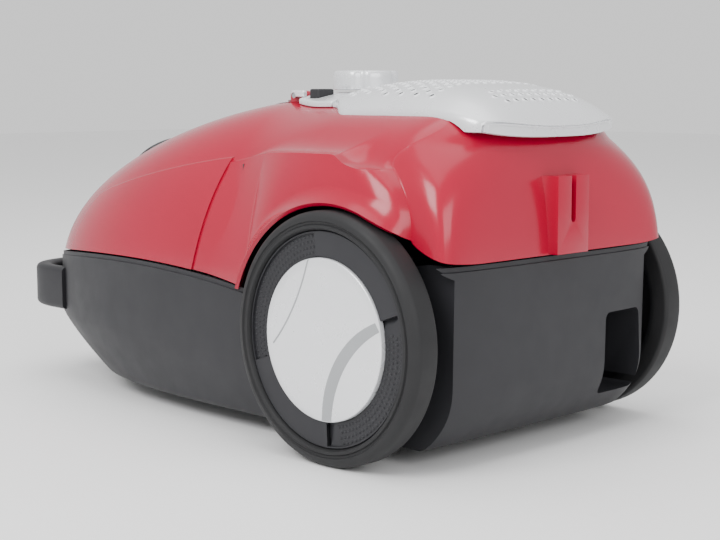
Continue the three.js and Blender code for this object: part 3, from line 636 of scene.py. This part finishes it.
def mirrored_sheet(name, half, middle_first):
    """An open sheet from half rows. The middle column is the first or the last one."""
    flip = half * np.array([-1, 1, 1])
    if middle_first:
        rows = np.concatenate([flip[:, :0:-1], half], 1)
    else:
        rows = np.concatenate([half, flip[:, -2::-1]], 1)
    return new_object(name, rows.reshape(-1, 3), grid_faces(rows.shape[0], rows.shape[1]), 30)


def red_shells():
    """The lid's and the rear cover's skins with their wall thickness."""
    lid = mirrored_sheet("lid_shell", nose_half_grid(), True)
    rear = mirrored_sheet("rear_shell", rear_half_grid(), False)
    return thicken(lid, SHELL_WALL), thicken(rear, SHELL_WALL)


# ---------- openings in the red shells ----------
KNOB = {"y": -105, "z": 247.2, "r": 26}
KEY = {"x": 46, "w": 16, "d": 10}
PORT = {"y": -350, "z": 181.5, "tilt": 0.66, "bore": 18, "ring": 30}
EXHAUST = {"x": 56, "y0": -64, "y1": 56}
HINGE = {"x": 42, "y": -129, "z": 243}


def tilt_to_port(obj):
    """Stand an object that was built upright about the origin on the hose port's axis."""
    axis = Vector((0, -math.sin(PORT["tilt"]), math.cos(PORT["tilt"])))
    turn = Vector((0, 0, 1)).rotation_difference(axis).to_matrix().to_4x4()
    place = Matrix.Translation((0, AXLE_Y + PORT["y"] * MM, PORT["z"] * MM))
    obj.data.transform(place @ turn @ Matrix.Translation((0, -AXLE_Y, 0)))
    return obj


def knob_shaft():
    return rod("shaft", 7, 200, 260, "z", (0, KNOB["y"], 0))


def key_box(name, s, gap, z):
    """A box at the place of the key on side s, with a gap all round."""
    x = pair(s, KEY["x"] - KEY["w"] / 2 - gap, KEY["x"] + KEY["w"] / 2 + gap)
    y = (KNOB["y"] - KEY["d"] / 2 - gap, KNOB["y"] + KEY["d"] / 2 + gap)
    return box_object(name, x, y, z)


def joined(first, *others):
    """One mesh from several separate closed ones."""
    bm = bmesh.new()
    for obj in (first, *others):
        bm.from_mesh(obj.data)
    bm.to_mesh(first.data)
    bm.free()
    for obj in others:
        bpy.data.objects.remove(obj)
    return first


def cut_shells(lid_shell, rear_shell):
    """Openings for the exhaust, the knob's shaft, both keys and the hose port."""
    e = EXHAUST
    exhaust = box_object("exhaust_cut", (-e["x"], e["x"]), (e["y0"], e["y1"]), (200, 260))
    rooms = [key_box("key_room", s, 1, (200, 260)) for s in (1, -1)]
    boolean(rear_shell, joined(exhaust, knob_shaft(), *rooms))
    boolean(lid_shell, tilt_to_port(rod("port_cut", PORT["ring"] - 4, -60, 40, "z", (0, 0, 0), 64)))


# ---------- lower housing ----------
HOUSING = {
    "x": 130, "nose_mid": -100, "nose": -420, "fullness": 3.2,
    "rear_mid": 40, "rear": 83, "floor": 12, "knee": 60,
}
WELL = {"x": 105, "r": 89}
POCKET = {"x0": -101, "x1": -55, "y0": 38, "z0": 30, "z1": 90}
POCKET_MOUTH = 120
OUTLET = {"x": -78, "z": 60}
RECESS = {"x": 74, "y": -394, "z0": 47, "z1": 99}
CASTER = {"y": -285, "r": 31, "top": 36}
SCREWS = ((88, -235), (-88, -235), (60, 40), (-34, 42))
WALL = 3
RIM_STEP = 1.2


def housing_loop(count_nose, count_side, count_rear):
    """Places round the +X half: (part of the outline, how far along it)."""
    nose = [("nose", a) for a in np.linspace(0, math.pi / 2, count_nose, endpoint=False)]
    side = [("side", a) for a in np.linspace(0, 1, count_side, endpoint=False)]
    return nose + side + [("rear", a) for a in np.linspace(0, math.pi / 2, count_rear + 1)]


def housing_plan(place, inset, back, narrow, tuck):
    """A point of the outline, with the nose drawn back, the sides narrowed and the rear tucked in."""
    part, a = place
    h = HOUSING
    half = h["x"] - inset - narrow
    if part == "side":
        return half, mix(h["nose_mid"], h["rear_mid"], a)
    c, s = max(math.cos(a), 0), max(math.sin(a), 0)
    if part == "nose":
        n = 2 / h["fullness"]
        return half * s**n, h["nose_mid"] - (h["nose_mid"] - h["nose"] - inset - back) * c**n
    return half * c**0.4, h["rear_mid"] + (h["rear"] - h["rear_mid"] - 1 - inset - tuck) * s**0.4


def stepped_in(x, y, z):
    """A point of the rim, moved in to leave the shadow line under the red shells."""
    step = 1.1
    ends = step * (0.7 if y > 0 else -0.7) * (abs(y) > HOUSING["rear_mid"])
    return x * (1 - step / HOUSING["x"]), y - ends, z


def housing_solid(name, inset, top_rise, levels=16, detail=True):
    """The housing's form as a closed solid, from the underside to the joint line."""
    h = HOUSING
    loop = housing_loop(56, 44, 26) if detail else housing_loop(28, 16, 14)
    bottom = h["floor"] + inset
    rows = []
    for k in range(levels + 1):
        v = (k / levels) ** 1.5
        z = mix(bottom, h["knee"], v)
        drop = (h["knee"] - z) / (h["knee"] - h["floor"])
        edge = 3 * max(1 - v / 0.05, 0)
        pulls = (59 * drop**1.1, 16 * drop**1.5, 26 * drop**2.6)
        rows.append([(*housing_plan(p, RIM_STEP + inset + edge, *pulls), z) for p in loop])
    for v in (0.25, 0.5, 0.75, 0.9, 1.0):
        ring = []
        for p in loop:
            x, y = housing_plan(p, RIM_STEP + inset, 0, 0, -v)
            ring.append((x, y, mix(h["knee"], float(joint_z(y)) - 1.6 + top_rise, v)))
        rows.append(ring)
    if detail and inset == 0:
        crown = rows.pop()
        rows.append([(x, y, z - 3.4) for x, y, z in crown])
        for down in (3.0, 0.0):
            rows.append([stepped_in(x, y, z - down) for x, y, z in crown])
    rows = np.array(rows)
    left = rows[:, ::-1] * np.array([-1, 1, 1])
    rings = np.concatenate([rows, left[:, 1:-1]], 1)
    count, around = rings.shape[0], rings.shape[1]
    faces = grid_faces(count, around, True)
    half = rows.shape[1]
    for k, flip in ((0, False), (count - 1, True)):
        at = k * around
        for i in range(half - 1):
            p = [at + i, at + i + 1, at + (around - i - 1) % around, at + (around - i) % around]
            faces.append(tuple(dict.fromkeys(p[::-1] if flip else p)))
    return new_object(name, rings.reshape(-1, 3), faces)


def well_cutter(s, out):
    return rod("well", WELL["r"] + out, *pair(s, WELL["x"] - out, 200), "x", (0, 0, AXLE_Z), 96)


def recess_cutter(out):
    r = RECESS
    x, z = (-r["x"] - out, r["x"] + out), (r["z0"] - out, r["z1"] + out)
    return box_object("recess", x, (-500, r["y"] + out), z)


def caster_cutter(out):
    return rod("caster_well", CASTER["r"] + out, 0, CASTER["top"] + out, "z", (0, CASTER["y"], 0), 64)


def pocket_cutter():
    """The cord pocket's room, wider at its foot."""
    p = POCKET
    hollow = [(p["x0"] - 5, p["z0"] - 1), (p["x1"], p["z0"]), (p["x1"], p["z1"]), (p["x0"] + 3, p["z1"])]
    verts = [(x, y, z) for y in (p["y0"], POCKET_MOUTH) for x, z in hollow]
    faces = [(0, 1, 2, 3), (7, 6, 5, 4), (0, 4, 5, 1), (1, 5, 6, 2), (2, 6, 7, 3), (3, 7, 4, 0)]
    return bevel(new_object("pocket", verts, faces), 5, 4)


def inner_room():
    """The hollow inside the housing, with walls left round every recess."""
    room = housing_solid("room", WALL, 30, 8, False)
    for s in (1, -1):
        boolean(room, well_cutter(s, WALL))
    boolean(room, recess_cutter(WALL))
    x, z = ((POCKET[a] - WALL, POCKET[b] + WALL) for a, b in (("x0", "x1"), ("z0", "z1")))
    boolean(room, box_object("pocket", x, (POCKET["y0"] - WALL, POCKET_MOUTH), z))
    boolean(room, caster_cutter(WALL))
    return room


def lower_housing():
    body = housing_solid("lower_housing_shell", 0, 0)
    boolean(body, inner_room())
    for s in (1, -1):
        boolean(body, well_cutter(s, 0))
        boolean(body, rod("hub", 13, *pair(s, 90, WELL["x"] - 1), "x", (0, 0, AXLE_Z), 48), "UNION")
    boolean(body, bevel(recess_cutter(0), 6, 4))
    boolean(body, pocket_cutter())
    boolean(body, caster_cutter(0))
    boolean(body, rod("stem", 5.4, 0, 60, "z", (0, CASTER["y"], 0)))
    boolean(body, rod("axle", 5.5, -200, 200, "x", (0, 0, AXLE_Z)))
    boolean(body, rod("outlet", 8.4, 0, 45, "y", (OUTLET["x"], 0, OUTLET["z"])))
    for x, y in SCREWS:
        boolean(body, rod("boss", 6, 13, 60, "z", (x, y, 0), 24), "UNION")
        hole = [(0, 0), (4.6, 0), (4.6, 20), (2.4, 20), (2.4, 70), (0, 70)]
        boolean(body, turned("hole", hole, "z", (x, y, 0), 24))
    return piece(body, "charcoal_plastic", "root", "lower_housing")


# ---------- carry handle ----------
HANDLE = {"x": 105, "y0": -362, "front": -432, "z0": 62, "z1": 98, "thick": 12, "edge": 4.5}


def carry_handle():
    h = HANDLE
    section = []
    near, far = h["edge"], h["thick"] - h["edge"]
    low, high = h["z0"] + h["edge"], h["z1"] - h["edge"]
    for cx, cz, start in ((far, high, 0), (near, high, 90), (near, low, 180), (far, low, 270)):
        section += arc(cx, cz, h["edge"], start, start + 90, 5)
    verts = []
    steps = 44
    for i in range(-steps, steps + 1):
        a = abs(i / steps) ** 0.8 * math.pi / 2
        for grow, z in section:
            x = math.copysign(1, i) * (h["x"] - grow) * math.sin(a) ** 0.5
            y = h["y0"] - (h["y0"] - h["front"] - grow) * max(math.cos(a), 0) ** 0.5
            verts.append((x, y, z))
    faces = tube_faces(2 * steps + 1, len(section))
    return piece(new_object("carry_handle", verts, faces), "charcoal_plastic", "root", "front_handle")


# ---------- wheels ----------
WHEEL = {"in": 126.5, "rim": 72, "cap": 54.5, "face": 145.5}
SECTORS = ((97, 198), (273, 379.5))
SECTOR_DEPTH, PIT_DEPTH = 1.7, 4.2
CAP = {"r": 53.5, "skirt": 54.3, "back": 142.8, "crown": 148.1, "fall": 0.9}
DOT = {"first": 57.8, "pitch": 3.6, "rows": 4, "mean": 64}


def flip_x(obj, s):
    if s < 0:
        obj.data.transform(Matrix.Scale(-1, 4, (1, 0, 0)))
        obj.data.flip_normals()
    return obj


def wheel_tyre(name, s):
    profile = [(72.3, 126.5)] + arc(82, 129.5, 3, -90, 0, 5) + arc(78.5, 141.5, 6.5, 0, 80, 10)
    profile += [(78.4, 148.3), (77.7, 147.2), (76.4, 146.9), (75.6, 147.9), (73.6, 147.9), (72.9, 147.0)]
    profile.append((72.3, 145))
    tyre = turned(f"{name}_tyre_rubber", profile, "x", (0, 0, AXLE_Z), 160, 28)
    return piece(flip_x(tyre, s), "tyre_rubber", f"{name}_wheel", f"{name}_tyre")


def wheel_columns():
    """Angles round the face plate as (angle at the rim, angle at the cap, depth)."""
    (a0, a1), (b0, b1) = SECTORS
    recess, pit = SECTOR_DEPTH, PIT_DEPTH
    out = []

    def run(start, stop, depth):
        steps = round((stop - start) / 3)
        for k in range(steps + 1):
            a = mix(start, stop, k / steps)
            out.append((a, a, depth))

    run(b1 - 360, a0, 0)
    run(a0 + 0.1, a1, recess)
    run(a1 + 0.1, b0 - 0.2, 0)
    out.append((b0 - 0.1, b0 - 2.9, pit))
    out.append((b0 + 0.5, b0 + 7, recess))
    run(b0 + 8, b1 - 10, recess)
    out.append((b1 - 0.5, b1 - 9, recess))
    out.append((b1 - 0.1, b1 - 0.4, pit))
    return out


def wheel_plate(name, s):
    w = WHEEL
    face, rim, cap = w["face"], w["rim"], w["cap"] + 0.4
    inner = w["in"] + 2
    back = [(cap, face - PIT_DEPTH - 0.1), (9, face - 3), (9, face - 5), (5.1, face - 5), (5.1, 108)]
    back += [(11, 108), (12.5, face - 6), (30, face - 6), (rim - 3, face - 6)]
    back += [(rim - 3, inner), (rim, inner), (rim, face - 0.6)]
    columns = wheel_columns()
    verts = []
    for at_rim, at_cap, depth in columns:
        front = [(rim - 0.5, 0), (rim - 1.4, 0), (rim - 1.5, depth), ((rim + cap) / 2, depth), (cap, depth)]
        for r, down in front:
            a = math.radians(mix(at_rim, at_cap, (rim - r) / (rim - cap)))
            verts.append((face - down, r * math.cos(a), AXLE_Z + r * math.sin(a)))
        for r, d in back:
            a = math.radians(mix(at_rim, at_cap, min(max((rim - r) / (rim - cap), 0), 1)))
            verts.append((d, r * math.cos(a), AXLE_Z + r * math.sin(a)))
    count, wide = len(columns), 5 + len(back)
    faces = grid_faces(count, wide, True)
    last = (count - 1) * wide
    faces += [(last + i, last + (i + 1) % wide, (i + 1) % wide, i) for i in range(wide)]
    plate = new_object(f"{name}_wheel_plate", verts, faces, 25)
    return piece(flip_x(plate, s), "charcoal_plastic", f"{name}_wheel", f"{name}_wheel_disc")


def wheel_dots(name, s):
    """Rows of small raised dots on the two sunk sectors."""
    verts, faces = [], []
    base = WHEEL["face"] - SECTOR_DEPTH
    sides, rings = 8, ((1.15, -0.1), (1.05, 0.25), (0.6, 0.55))
    for start, stop in ((98.5, 196.5), (283, 369)):
        for row in range(DOT["rows"]):
            r = DOT["first"] + row * DOT["pitch"]
            count = int(math.radians(stop - start) * DOT["mean"] / DOT["pitch"])
            for k in range(count + 1):
                a = math.radians(mix(start, stop, (k + 0.5 * (row % 2)) / (count + 0.5)))
                y, z = r * math.cos(a), AXLE_Z + r * math.sin(a)
                at = len(verts)
                for size, lift in rings:
                    for i in range(sides):
                        t = 2 * math.pi * i / sides
                        verts.append((base + lift, y + size * math.cos(t), z + size * math.sin(t)))
                faces += stud_faces(at, len(rings), sides)
                faces.append(tuple(len(verts) - sides + i for i in range(sides)))
    dots = new_object(f"{name}_wheel_dots", verts, faces, 50)
    return piece(flip_x(dots, s), "charcoal_plastic", f"{name}_wheel")


def cap_front(r):
    """The cap's slightly domed face at radius r."""
    return CAP["crown"] - CAP["fall"] * (r / CAP["r"]) ** 2


def wheel_cap(name, s):
    rows = [(0, CAP["back"]), (CAP["skirt"], CAP["back"]), (CAP["skirt"], 146.4), (CAP["skirt"] - 0.3, 146.9)]
    rows += [(r, cap_front(r)) for r in (CAP["r"], 48, 40, 30, 20, 10, 0)]
    cap = turned(f"{name}_silver_cap", rows, "x", (0, 0, AXLE_Z), 128)
    return piece(flip_x(cap, s), "silver_plastic", f"{name}_wheel", f"{name}_hub_cap")


def cap_stripe(name, part, s, edge_a, edge_b):
    """A thin grey strip on the cap between two edge curves: used for a grey band in the cap's own colour and
    for a line of painted shade where a shallow groove runs.
    """
    verts = []
    for (ya, za), (yb, zb) in zip(edge_a, edge_b):
        for y, z, lift in ((ya, za, -0.5), (ya, za, 0.12), (yb, zb, 0.12), (yb, zb, -0.5)):
            r = math.hypot(y, z)
            k = min(1, (CAP["r"] + 0.1) / max(r, 1e-6))
            verts.append((cap_front(r * k) + lift, y * k, AXLE_Z + z * k))
    obj = new_object(f"{name}_{part}_inlay", verts, tube_faces(len(edge_a), 4), 60)
    return piece(flip_x(obj, s), "silver_plastic", f"{name}_wheel", look=CAP_GREY_AND_GROOVE_SHADE)


def wheel_cap_stripes(name, s):
    """A broad grey band on the cap's front side, in its own colour, and a thin line of painted shade on its
    rear side that stands for a shallow groove.
    """
    cap_stripe(name, "band", s, arc(78.3, -55.5, 78.2, 112, 181, 40), arc(89.1, -60.3, 80.5, 114, 178, 40))
    # The thin line is painted shade standing in for a shallow groove's shadow.
    cap_stripe(name, "line", s, *(arc(-144, 88, radius, -14.6, -44.5, 30) for radius in (136.6, 135.4)))


def wheels():
    for name, s in SIDES:
        wheel_tyre(name, s)
        wheel_plate(name, s)
        wheel_dots(name, s)
        wheel_cap(name, s)
        wheel_cap_stripes(name, s)


# ---------- silver parts on top ----------
GRILLE = {
    "front": -76, "rear": 84, "corner": 72, "front_x": 63, "side_x": 78,
    "base_z": 216, "crown_z": 254, "depth": 14, "gap": 0.5, "brow": 3.4, "seam_z": 216.5,
}
CROWN_ROWS = 80


def hood_z(x, y):
    """Height of the red hood over a place in plan."""
    low, high = np.full(np.shape(x), 120.0), np.full(np.shape(x), float(TOP_Z))
    for _ in range(26):
        z = (low + high) / 2
        r = rise(z)
        ahead = np.maximum(lid_joint_y(z) - y, 0) / np.maximum(nose_length(r), 1e-6)
        aside = np.abs(x) / np.maximum(lid_half(r), 1e-6)
        in_nose = aside ** NOSE["fullness"] + ahead ** NOSE["fullness"] <= 1
        inside = np.where(ahead > 0, in_nose, body_half(y, z) >= np.abs(x))
        low, high = np.where(inside, z, low), np.where(inside, high, z)
    return low


def grille_rear(u):
    """The rear edge's place, which draws in towards the corners."""
    return mix(GRILLE["rear"], GRILLE["corner"], np.abs(u) ** 2.6)


def grille_top(x, y, rear):
    """Height of the crown, which rolls off towards its rear edge."""
    base = GRILLE["base_z"]
    crown = GRILLE["crown_z"] - 9 * ((y + 10) / 72) ** 2
    roll = np.where(y > 0, 1 - np.clip(y / (91 - 0.42 * (GRILLE["rear"] - rear)), 0, 1) ** 6, 1)
    return base + (crown - base) * (1 - np.abs(x / 92) ** 4) * roll


def grille_place(u, v):
    """The crown from the front edge to the brow over the rear wall."""
    g = GRILLE
    y = mix(g["front"], grille_rear(u), 1 - (1 - v) ** 1.6)
    x = u * mix(g["front_x"], g["side_x"], smooth(g["front"], -50, y)) * (1 - 0.1 * v**6)
    return x, y, grille_top(x, y, grille_rear(u))


def exhaust_grille():
    """A crowned shell whose brow overhangs a lens-shaped wall at the rear."""
    g = GRILLE
    u, v = np.meshgrid(np.linspace(-1, 1, 97), np.linspace(0, 1, CROWN_ROWS))
    x, y, z = grille_place(u, v)
    edge = 1 - np.minimum((1 - np.abs(u)) * 26, v * 40)
    top = np.stack([x, y, z - 2.2 * np.clip(edge, 0, 1) ** 3], -1)
    bx, by, bz = top[-1].T
    deep = g["brow"] * (1 - np.abs(u[0]) ** 6)
    wall = [np.stack([bx, by - 0.2, bz - 0.9], -1), np.stack([bx, by - deep, bz - 1.3], -1)]
    seam = g["seam_z"] + 4 * np.abs(u[0]) ** 3
    for t in (0.25, 0.5, 0.75, 1):
        wall.append(np.stack([bx, by - deep * (1 - 0.25 * t), mix(bz - 1.3, seam, t)], -1))
    top = np.concatenate([top, np.array(wall)])
    across = np.vstack([u, np.tile(u[0], (len(wall), 1))])
    verts = np.concatenate([top.reshape(-1, 3), grille_under(top, across, seam).reshape(-1, 3)])
    shell = new_object("grille_shell", verts, slab_faces(*top.shape[:2]), 32)
    return piece(shell, "silver_plastic", "grille", "exhaust_grille")


def grille_under(top, across, seam):
    """The inner surface: a thin skin with a deep rim, and a wall of its own behind the rear one."""
    z = top[..., 2]
    floor = np.maximum(z - GRILLE["depth"], hood_z(top[..., 0], top[..., 1]) + GRILLE["gap"])
    rim = (np.abs(across) > 0.93) | (np.arange(len(top)) < 2)[:, None]
    under = top.copy()
    under[..., 2] = np.where(rim, np.minimum(floor, z - 2), np.maximum(floor, z - 3))
    under[..., 2] = np.minimum(under[..., 2], z - 0.6)
    under[CROWN_ROWS:, :, 1] -= 3
    under[CROWN_ROWS:, :, 2] = z[CROWN_ROWS:] - 0.5
    draw_in = np.array([0.5, 1.5, 3, 4])
    under[CROWN_ROWS - len(draw_in) : CROWN_ROWS, :, 1] -= draw_in[:, None]
    under[:CROWN_ROWS, :, 2] = np.maximum(under[:CROWN_ROWS, :, 2], seam)
    return under


def in_dimple_zone(x, y):
    """The large field on the crown, and a small one behind it."""
    front = y > GRILLE["front"] + 8 and y < 27 - 0.05 * abs(x) and abs(x) < 66 + 0.07 * y
    rear = 44 < y < 66 and abs(x) < 42
    return front or rear


def grille_dimples():
    """Dimples in staggered rows: each has a raised rim round a cup whose floor is painted dark as painted
    shade.
    """
    verts, faces = [], []
    pitch, sides = 9.2, 12
    rings = ((3.3, -0.15), (2.7, 0.6), (2.2, 0.75), (1.8, 0.15), (0.0, 0.1))
    for j in range(24):
        for i in range(-9, 10):
            x = (i + 0.5 * (j % 2)) * pitch
            y = GRILLE["front"] + 11 + j * pitch * 0.78
            if not in_dimple_zone(x, y):
                continue
            rear = grille_rear(abs(x) / GRILLE["side_x"])
            at = len(verts)
            for r, lift in rings:
                for k in range(sides):
                    a = 2 * math.pi * k / sides
                    px, py = x + r * math.cos(a), y + r * 0.9 * math.sin(a)
                    verts.append((px, py, float(grille_top(px, py, rear)) + lift))
            faces += stud_faces(at, len(rings), sides)
    dimples = piece(new_object("grille_dimples", verts, faces, 60), "silver_plastic", "grille")
    # The cup floors get the dark finish: painted shade inside each dimple.
    dimples.data.materials.append(DIMPLE_PAINTED_SHADE)
    for poly in dimples.data.polygons:
        poly.material_index = int(len(poly.vertices) == 3)  # the cup's floor is a fan of triangles
    return dimples


def slab_faces(rows, cols):
    """Faces of a closed slab whose top grid and under grid have the same layout."""
    at = rows * cols
    faces = grid_faces(rows, cols)
    faces += [tuple(at + i for i in f[::-1]) for f in faces]
    ring = list(range(cols)) + [k * cols + cols - 1 for k in range(1, rows)]
    ring += [(rows - 1) * cols + i for i in range(cols - 2, -1, -1)]
    ring += [k * cols for k in range(rows - 2, 0, -1)]
    return faces + [(b, a, at + a, at + b) for a, b in zip(ring, ring[1:] + ring[:1])]


def top_plate(name, outline, lift, rounding, rows=40, cols=48):
    """A plate on the hood. The outline gives half width and place for v in 0..1."""
    verts = []
    for k in range(rows + 1):
        half, y = outline(k / rows)
        for i in range(cols + 1):
            x = half * (2 * i / cols - 1)
            verts.append((x, y, float(hood_z(np.array(x), np.array(y))) + lift))
    under = [(x, y, z - lift + 0.3) for x, y, z in verts]
    return bevel(new_object(name, verts + under, slab_faces(rows + 1, cols + 1), 40), rounding, 3, 50)


def console():
    def outline(v):
        y = mix(-120.5, GRILLE["front"] - 0.8, v)
        return mix(55, 63.5, math.sin(min(v * 1.3, 1) * math.pi / 2)), y

    deck = top_plate("console_deck", outline, 4.6, 1.2, 20, 60)
    boolean(deck, knob_shaft())
    for s in (1, -1):
        boolean(deck, key_box("key_room", s, 0.8, (200, 260)))
        for dx in (-10.5, 6.5):
            boolean(deck, hinge_ear(pair(s, HINGE["x"] + dx, HINGE["x"] + dx + 4)), "UNION")
    return piece(deck, "silver_plastic", "root", "console_panel")


def hinge_ear(x):
    """An ear of the console that holds an end of a hinge pin."""
    ear = box_object("ear", x, (HINGE["y"] - 3, HINGE["y"] + 11), (241.8, 247))
    return boolean(bevel(ear, 1.2, 3), rod("pin", 2.35, -200, 200, "x", (0, HINGE["y"], HINGE["z"]), 24))


def lid_strip():
    def outline(v):
        y = mix(-142, -232, v)
        return max(mix(46, 12, v**1.15) * math.sqrt(max(1 - v**14, 0)), 1.5), y

    return piece(top_plate("lid_strip", outline, 1.9, 0.8, 36, 24), "silver_plastic", "lid", "lid_trim")


def hinge_lugs():
    """The lid's two hinge eyes, with their arms sunk in the lid's skin."""
    y, z = HINGE["y"], HINGE["z"]
    for name, s in SIDES:
        x = pair(s, HINGE["x"] - 5, HINGE["x"] + 5)
        eye = rod(f"lid_lug_{name}", 3.6, *x, "x", (0, y, z), 40)
        boolean(eye, box_object("arm", x, (y - 9, y), (z - 5, z + 1.5)), "UNION")
        boolean(eye, rod("pin", 2.08, -200, 200, "x", (0, y, z), 24))
        piece(bevel(eye, 0.5), "gloss_red", "lid")


def power_knob():
    """A lobed knob: five wide finger lobes with notches between them, a rounded top edge and a dished top."""
    around = 240
    rows = [(0.0, 0.0), (0.9, 0.0), (0.965, 0.4), (0.98, 1.4)]
    rows += [(0.98 - 0.004 * k, 1.4 + 2.4 * k) for k in range(1, 5)]
    rows += [(0.955 - 0.085 * (1 - math.cos(a)), 11.4 + 3.0 * math.sin(a)) for a in (0.3, 0.7, 1.1, 1.57)]
    rows += [(0.8, 14.5), (0.6, 14.2), (0.3, 13.9), (0.0, 13.8)]
    verts = []
    for scale, up in rows:
        for i in range(around):
            a = 2 * math.pi * i / around
            notch = 2.6 * abs(math.sin(2.5 * a)) ** 14 * min(scale / 0.85, 1) ** 3
            r = (KNOB["r"] - 0.4 - notch) * scale
            verts.append((r * math.cos(a), KNOB["y"] + r * math.sin(a), KNOB["z"] + up))
    knob = new_object("knob_body", verts, grid_faces(len(rows), around, True), 45)
    boolean(knob, rod("stem", 6, 232, KNOB["z"] + 2, "z", (0, KNOB["y"], 0), 40), "UNION")
    return piece(knob, "silver_plastic", "knob", "power_knob")


def keys():
    for name, s, body in (("power_key", 1, "power_button"), ("rewind_key", -1, "rewind_button")):
        cap = bevel(key_box(f"{name}_cap", s, 0, (233, 248)), 1.3, 4)
        mark = [(2.2, 247.2), (3.1, 247.2), (3.1, 249), (2.2, 249)]
        boolean(cap, turned("mark", mark, "z", (s * KEY["x"], KNOB["y"], 0), 40))
        piece(cap, "charcoal_plastic", body, name)


# ---------- parking bracket and hose port ----------
PARK = {"face": 17, "base": 25, "y0": 76, "y1": 92, "z0": 138, "z1": 190.5, "slot": 2.5, "slot_z": 161.5}


def parking_bracket():
    p = PARK
    plan = [(p["base"], 70)]
    for t in np.linspace(0, 1, 14):
        plan.append((mix(p["base"], p["face"], 1 - (1 - t) ** 2), mix(p["y0"], p["y1"], t * t)))
    plan += [(-x, y) for x, y in plan[::-1]]
    verts = [(x, y, z) for z in (p["z0"], p["z1"]) for x, y in plan]
    n = len(plan)
    faces = [tuple(range(n))[::-1], tuple(range(n, 2 * n))]
    faces += [(i, (i + 1) % n, n + (i + 1) % n, n + i) for i in range(n)]
    block = new_object("bracket_block", verts, faces)
    reach = (p["y1"] - 9, 110)
    groove = box_object("groove", (-p["slot"], p["slot"]), reach, (p["slot_z"], 200))
    boolean(groove, rod("round", p["slot"], *reach, "y", (0, 0, p["slot_z"])), "UNION")
    boolean(block, groove)
    boolean(block, box_object("back", (-40, 40), (0, 77.5), (100, 220)))
    return piece(bevel(block, 0.9, 3, 45), "gloss_red", "root", "parking_bracket")


def hose_port():
    r, b = PORT["ring"], PORT["bore"]
    profile = [(b, -14), (r - 4.4, -14), (r - 4.4, 0), (r - 0.6, 0), (r, 0.8), (r, 6.6)]
    profile += arc(r - 2.4, 6.6, 2.4, 10, 90, 6)
    profile += [(b + 3, 9), (b + 2.6, 8), (b + 0.6, 8), (b, 7.2)]
    port = tilt_to_port(turned("port_ring", profile, "z", (0, 0, 0), 128))
    for turn in (0, 120, 240):
        a = math.radians(turn + 90)
        x, y = (b + 2.5) * math.cos(a), (b + 2.5) * math.sin(a)
        slot = box_object("slot", (x - 3, x + 3), (y - 3, y + 3), (2, 12))
        boolean(port, tilt_to_port(slot))
    return piece(port, "black_plastic", "lid", "hose_port")


# ---------- soft parts inside ----------
def dust_bag():
    """The paper bag, part filled: a smooth closed form with shallow creases that run in from its rim."""
    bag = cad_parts["dust_bag"].copy()
    bag.data = bag.data.copy()
    bag.name = "paper_bag"
    bag.modifiers.clear()
    bpy.context.scene.collection.objects.link(bag)
    clean(bag, 180)
    soft = bag.modifiers.new("soft", "SUBSURF")
    soft.levels = soft.render_levels = 2
    apply_modifiers(bag, 180)
    mesh = bag.data
    points = np.array([v.co for v in mesh.vertices])
    middle = points.mean(0)
    for v in mesh.vertices:
        d = np.array(v.co) - middle
        around = math.atan2(d[1], d[0])
        crease = abs(math.sin(7 * around + 0.8 * math.sin(3 * around))) ** 8
        v.co -= v.normal * (0.0016 * crease * min(abs(d[2]) / 0.03, 1) + 0.0003)
    return piece(bag, "filter_fabric", "root", "dust_bag")


def pleated(node, thin, other, pleat=5):
    """A filter's pad, thin along one axis: soft pleats on both faces inside a flat rim."""
    lo, hi = (corner / MM - Vector((0, AXLE_Y / MM, 0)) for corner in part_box(node))
    n_across = int((hi[0] - lo[0]) / pleat) * 6
    verts = []
    for side in (0, 1):
        for j in (0, 0.06, 0.94, 1):
            for i in range(n_across + 1):
                t = i / n_across
                rim = 0 if j in (0, 1) or t < 0.04 or t > 0.96 else 1
                wave = rim * 1.6 * (0.5 - 0.5 * math.cos(2 * math.pi * i / 6))
                p = [mix(lo[0], hi[0], t), 0, 0]
                p[other] = mix(lo[other], hi[other], j)
                p[thin] = lo[thin] + wave if side == 0 else hi[thin] - wave
                verts.append(p)
    pad = new_object(f"{node}_pad", verts, slab_faces(4, n_across + 1), 25)
    return piece(pad, "filter_fabric", "root", node)


# ---------- build ----------
finish_cad_nodes()
make_camera()
make_studio()
lid_shell, rear_shell = red_shells()
cut_shells(lid_shell, rear_shell)
piece(lid_shell, "gloss_red", "lid", "front_lid")
piece(rear_shell, "gloss_red", "root", "rear_cover")
lower_housing()
carry_handle()
wheels()
exhaust_grille()
grille_dimples()
console()
lid_strip()
hinge_lugs()
power_knob()
keys()
parking_bracket()
hose_port()
dust_bag()
pleated("motor_filter", 1, 2)
pleated("exhaust_filter", 2, 1)
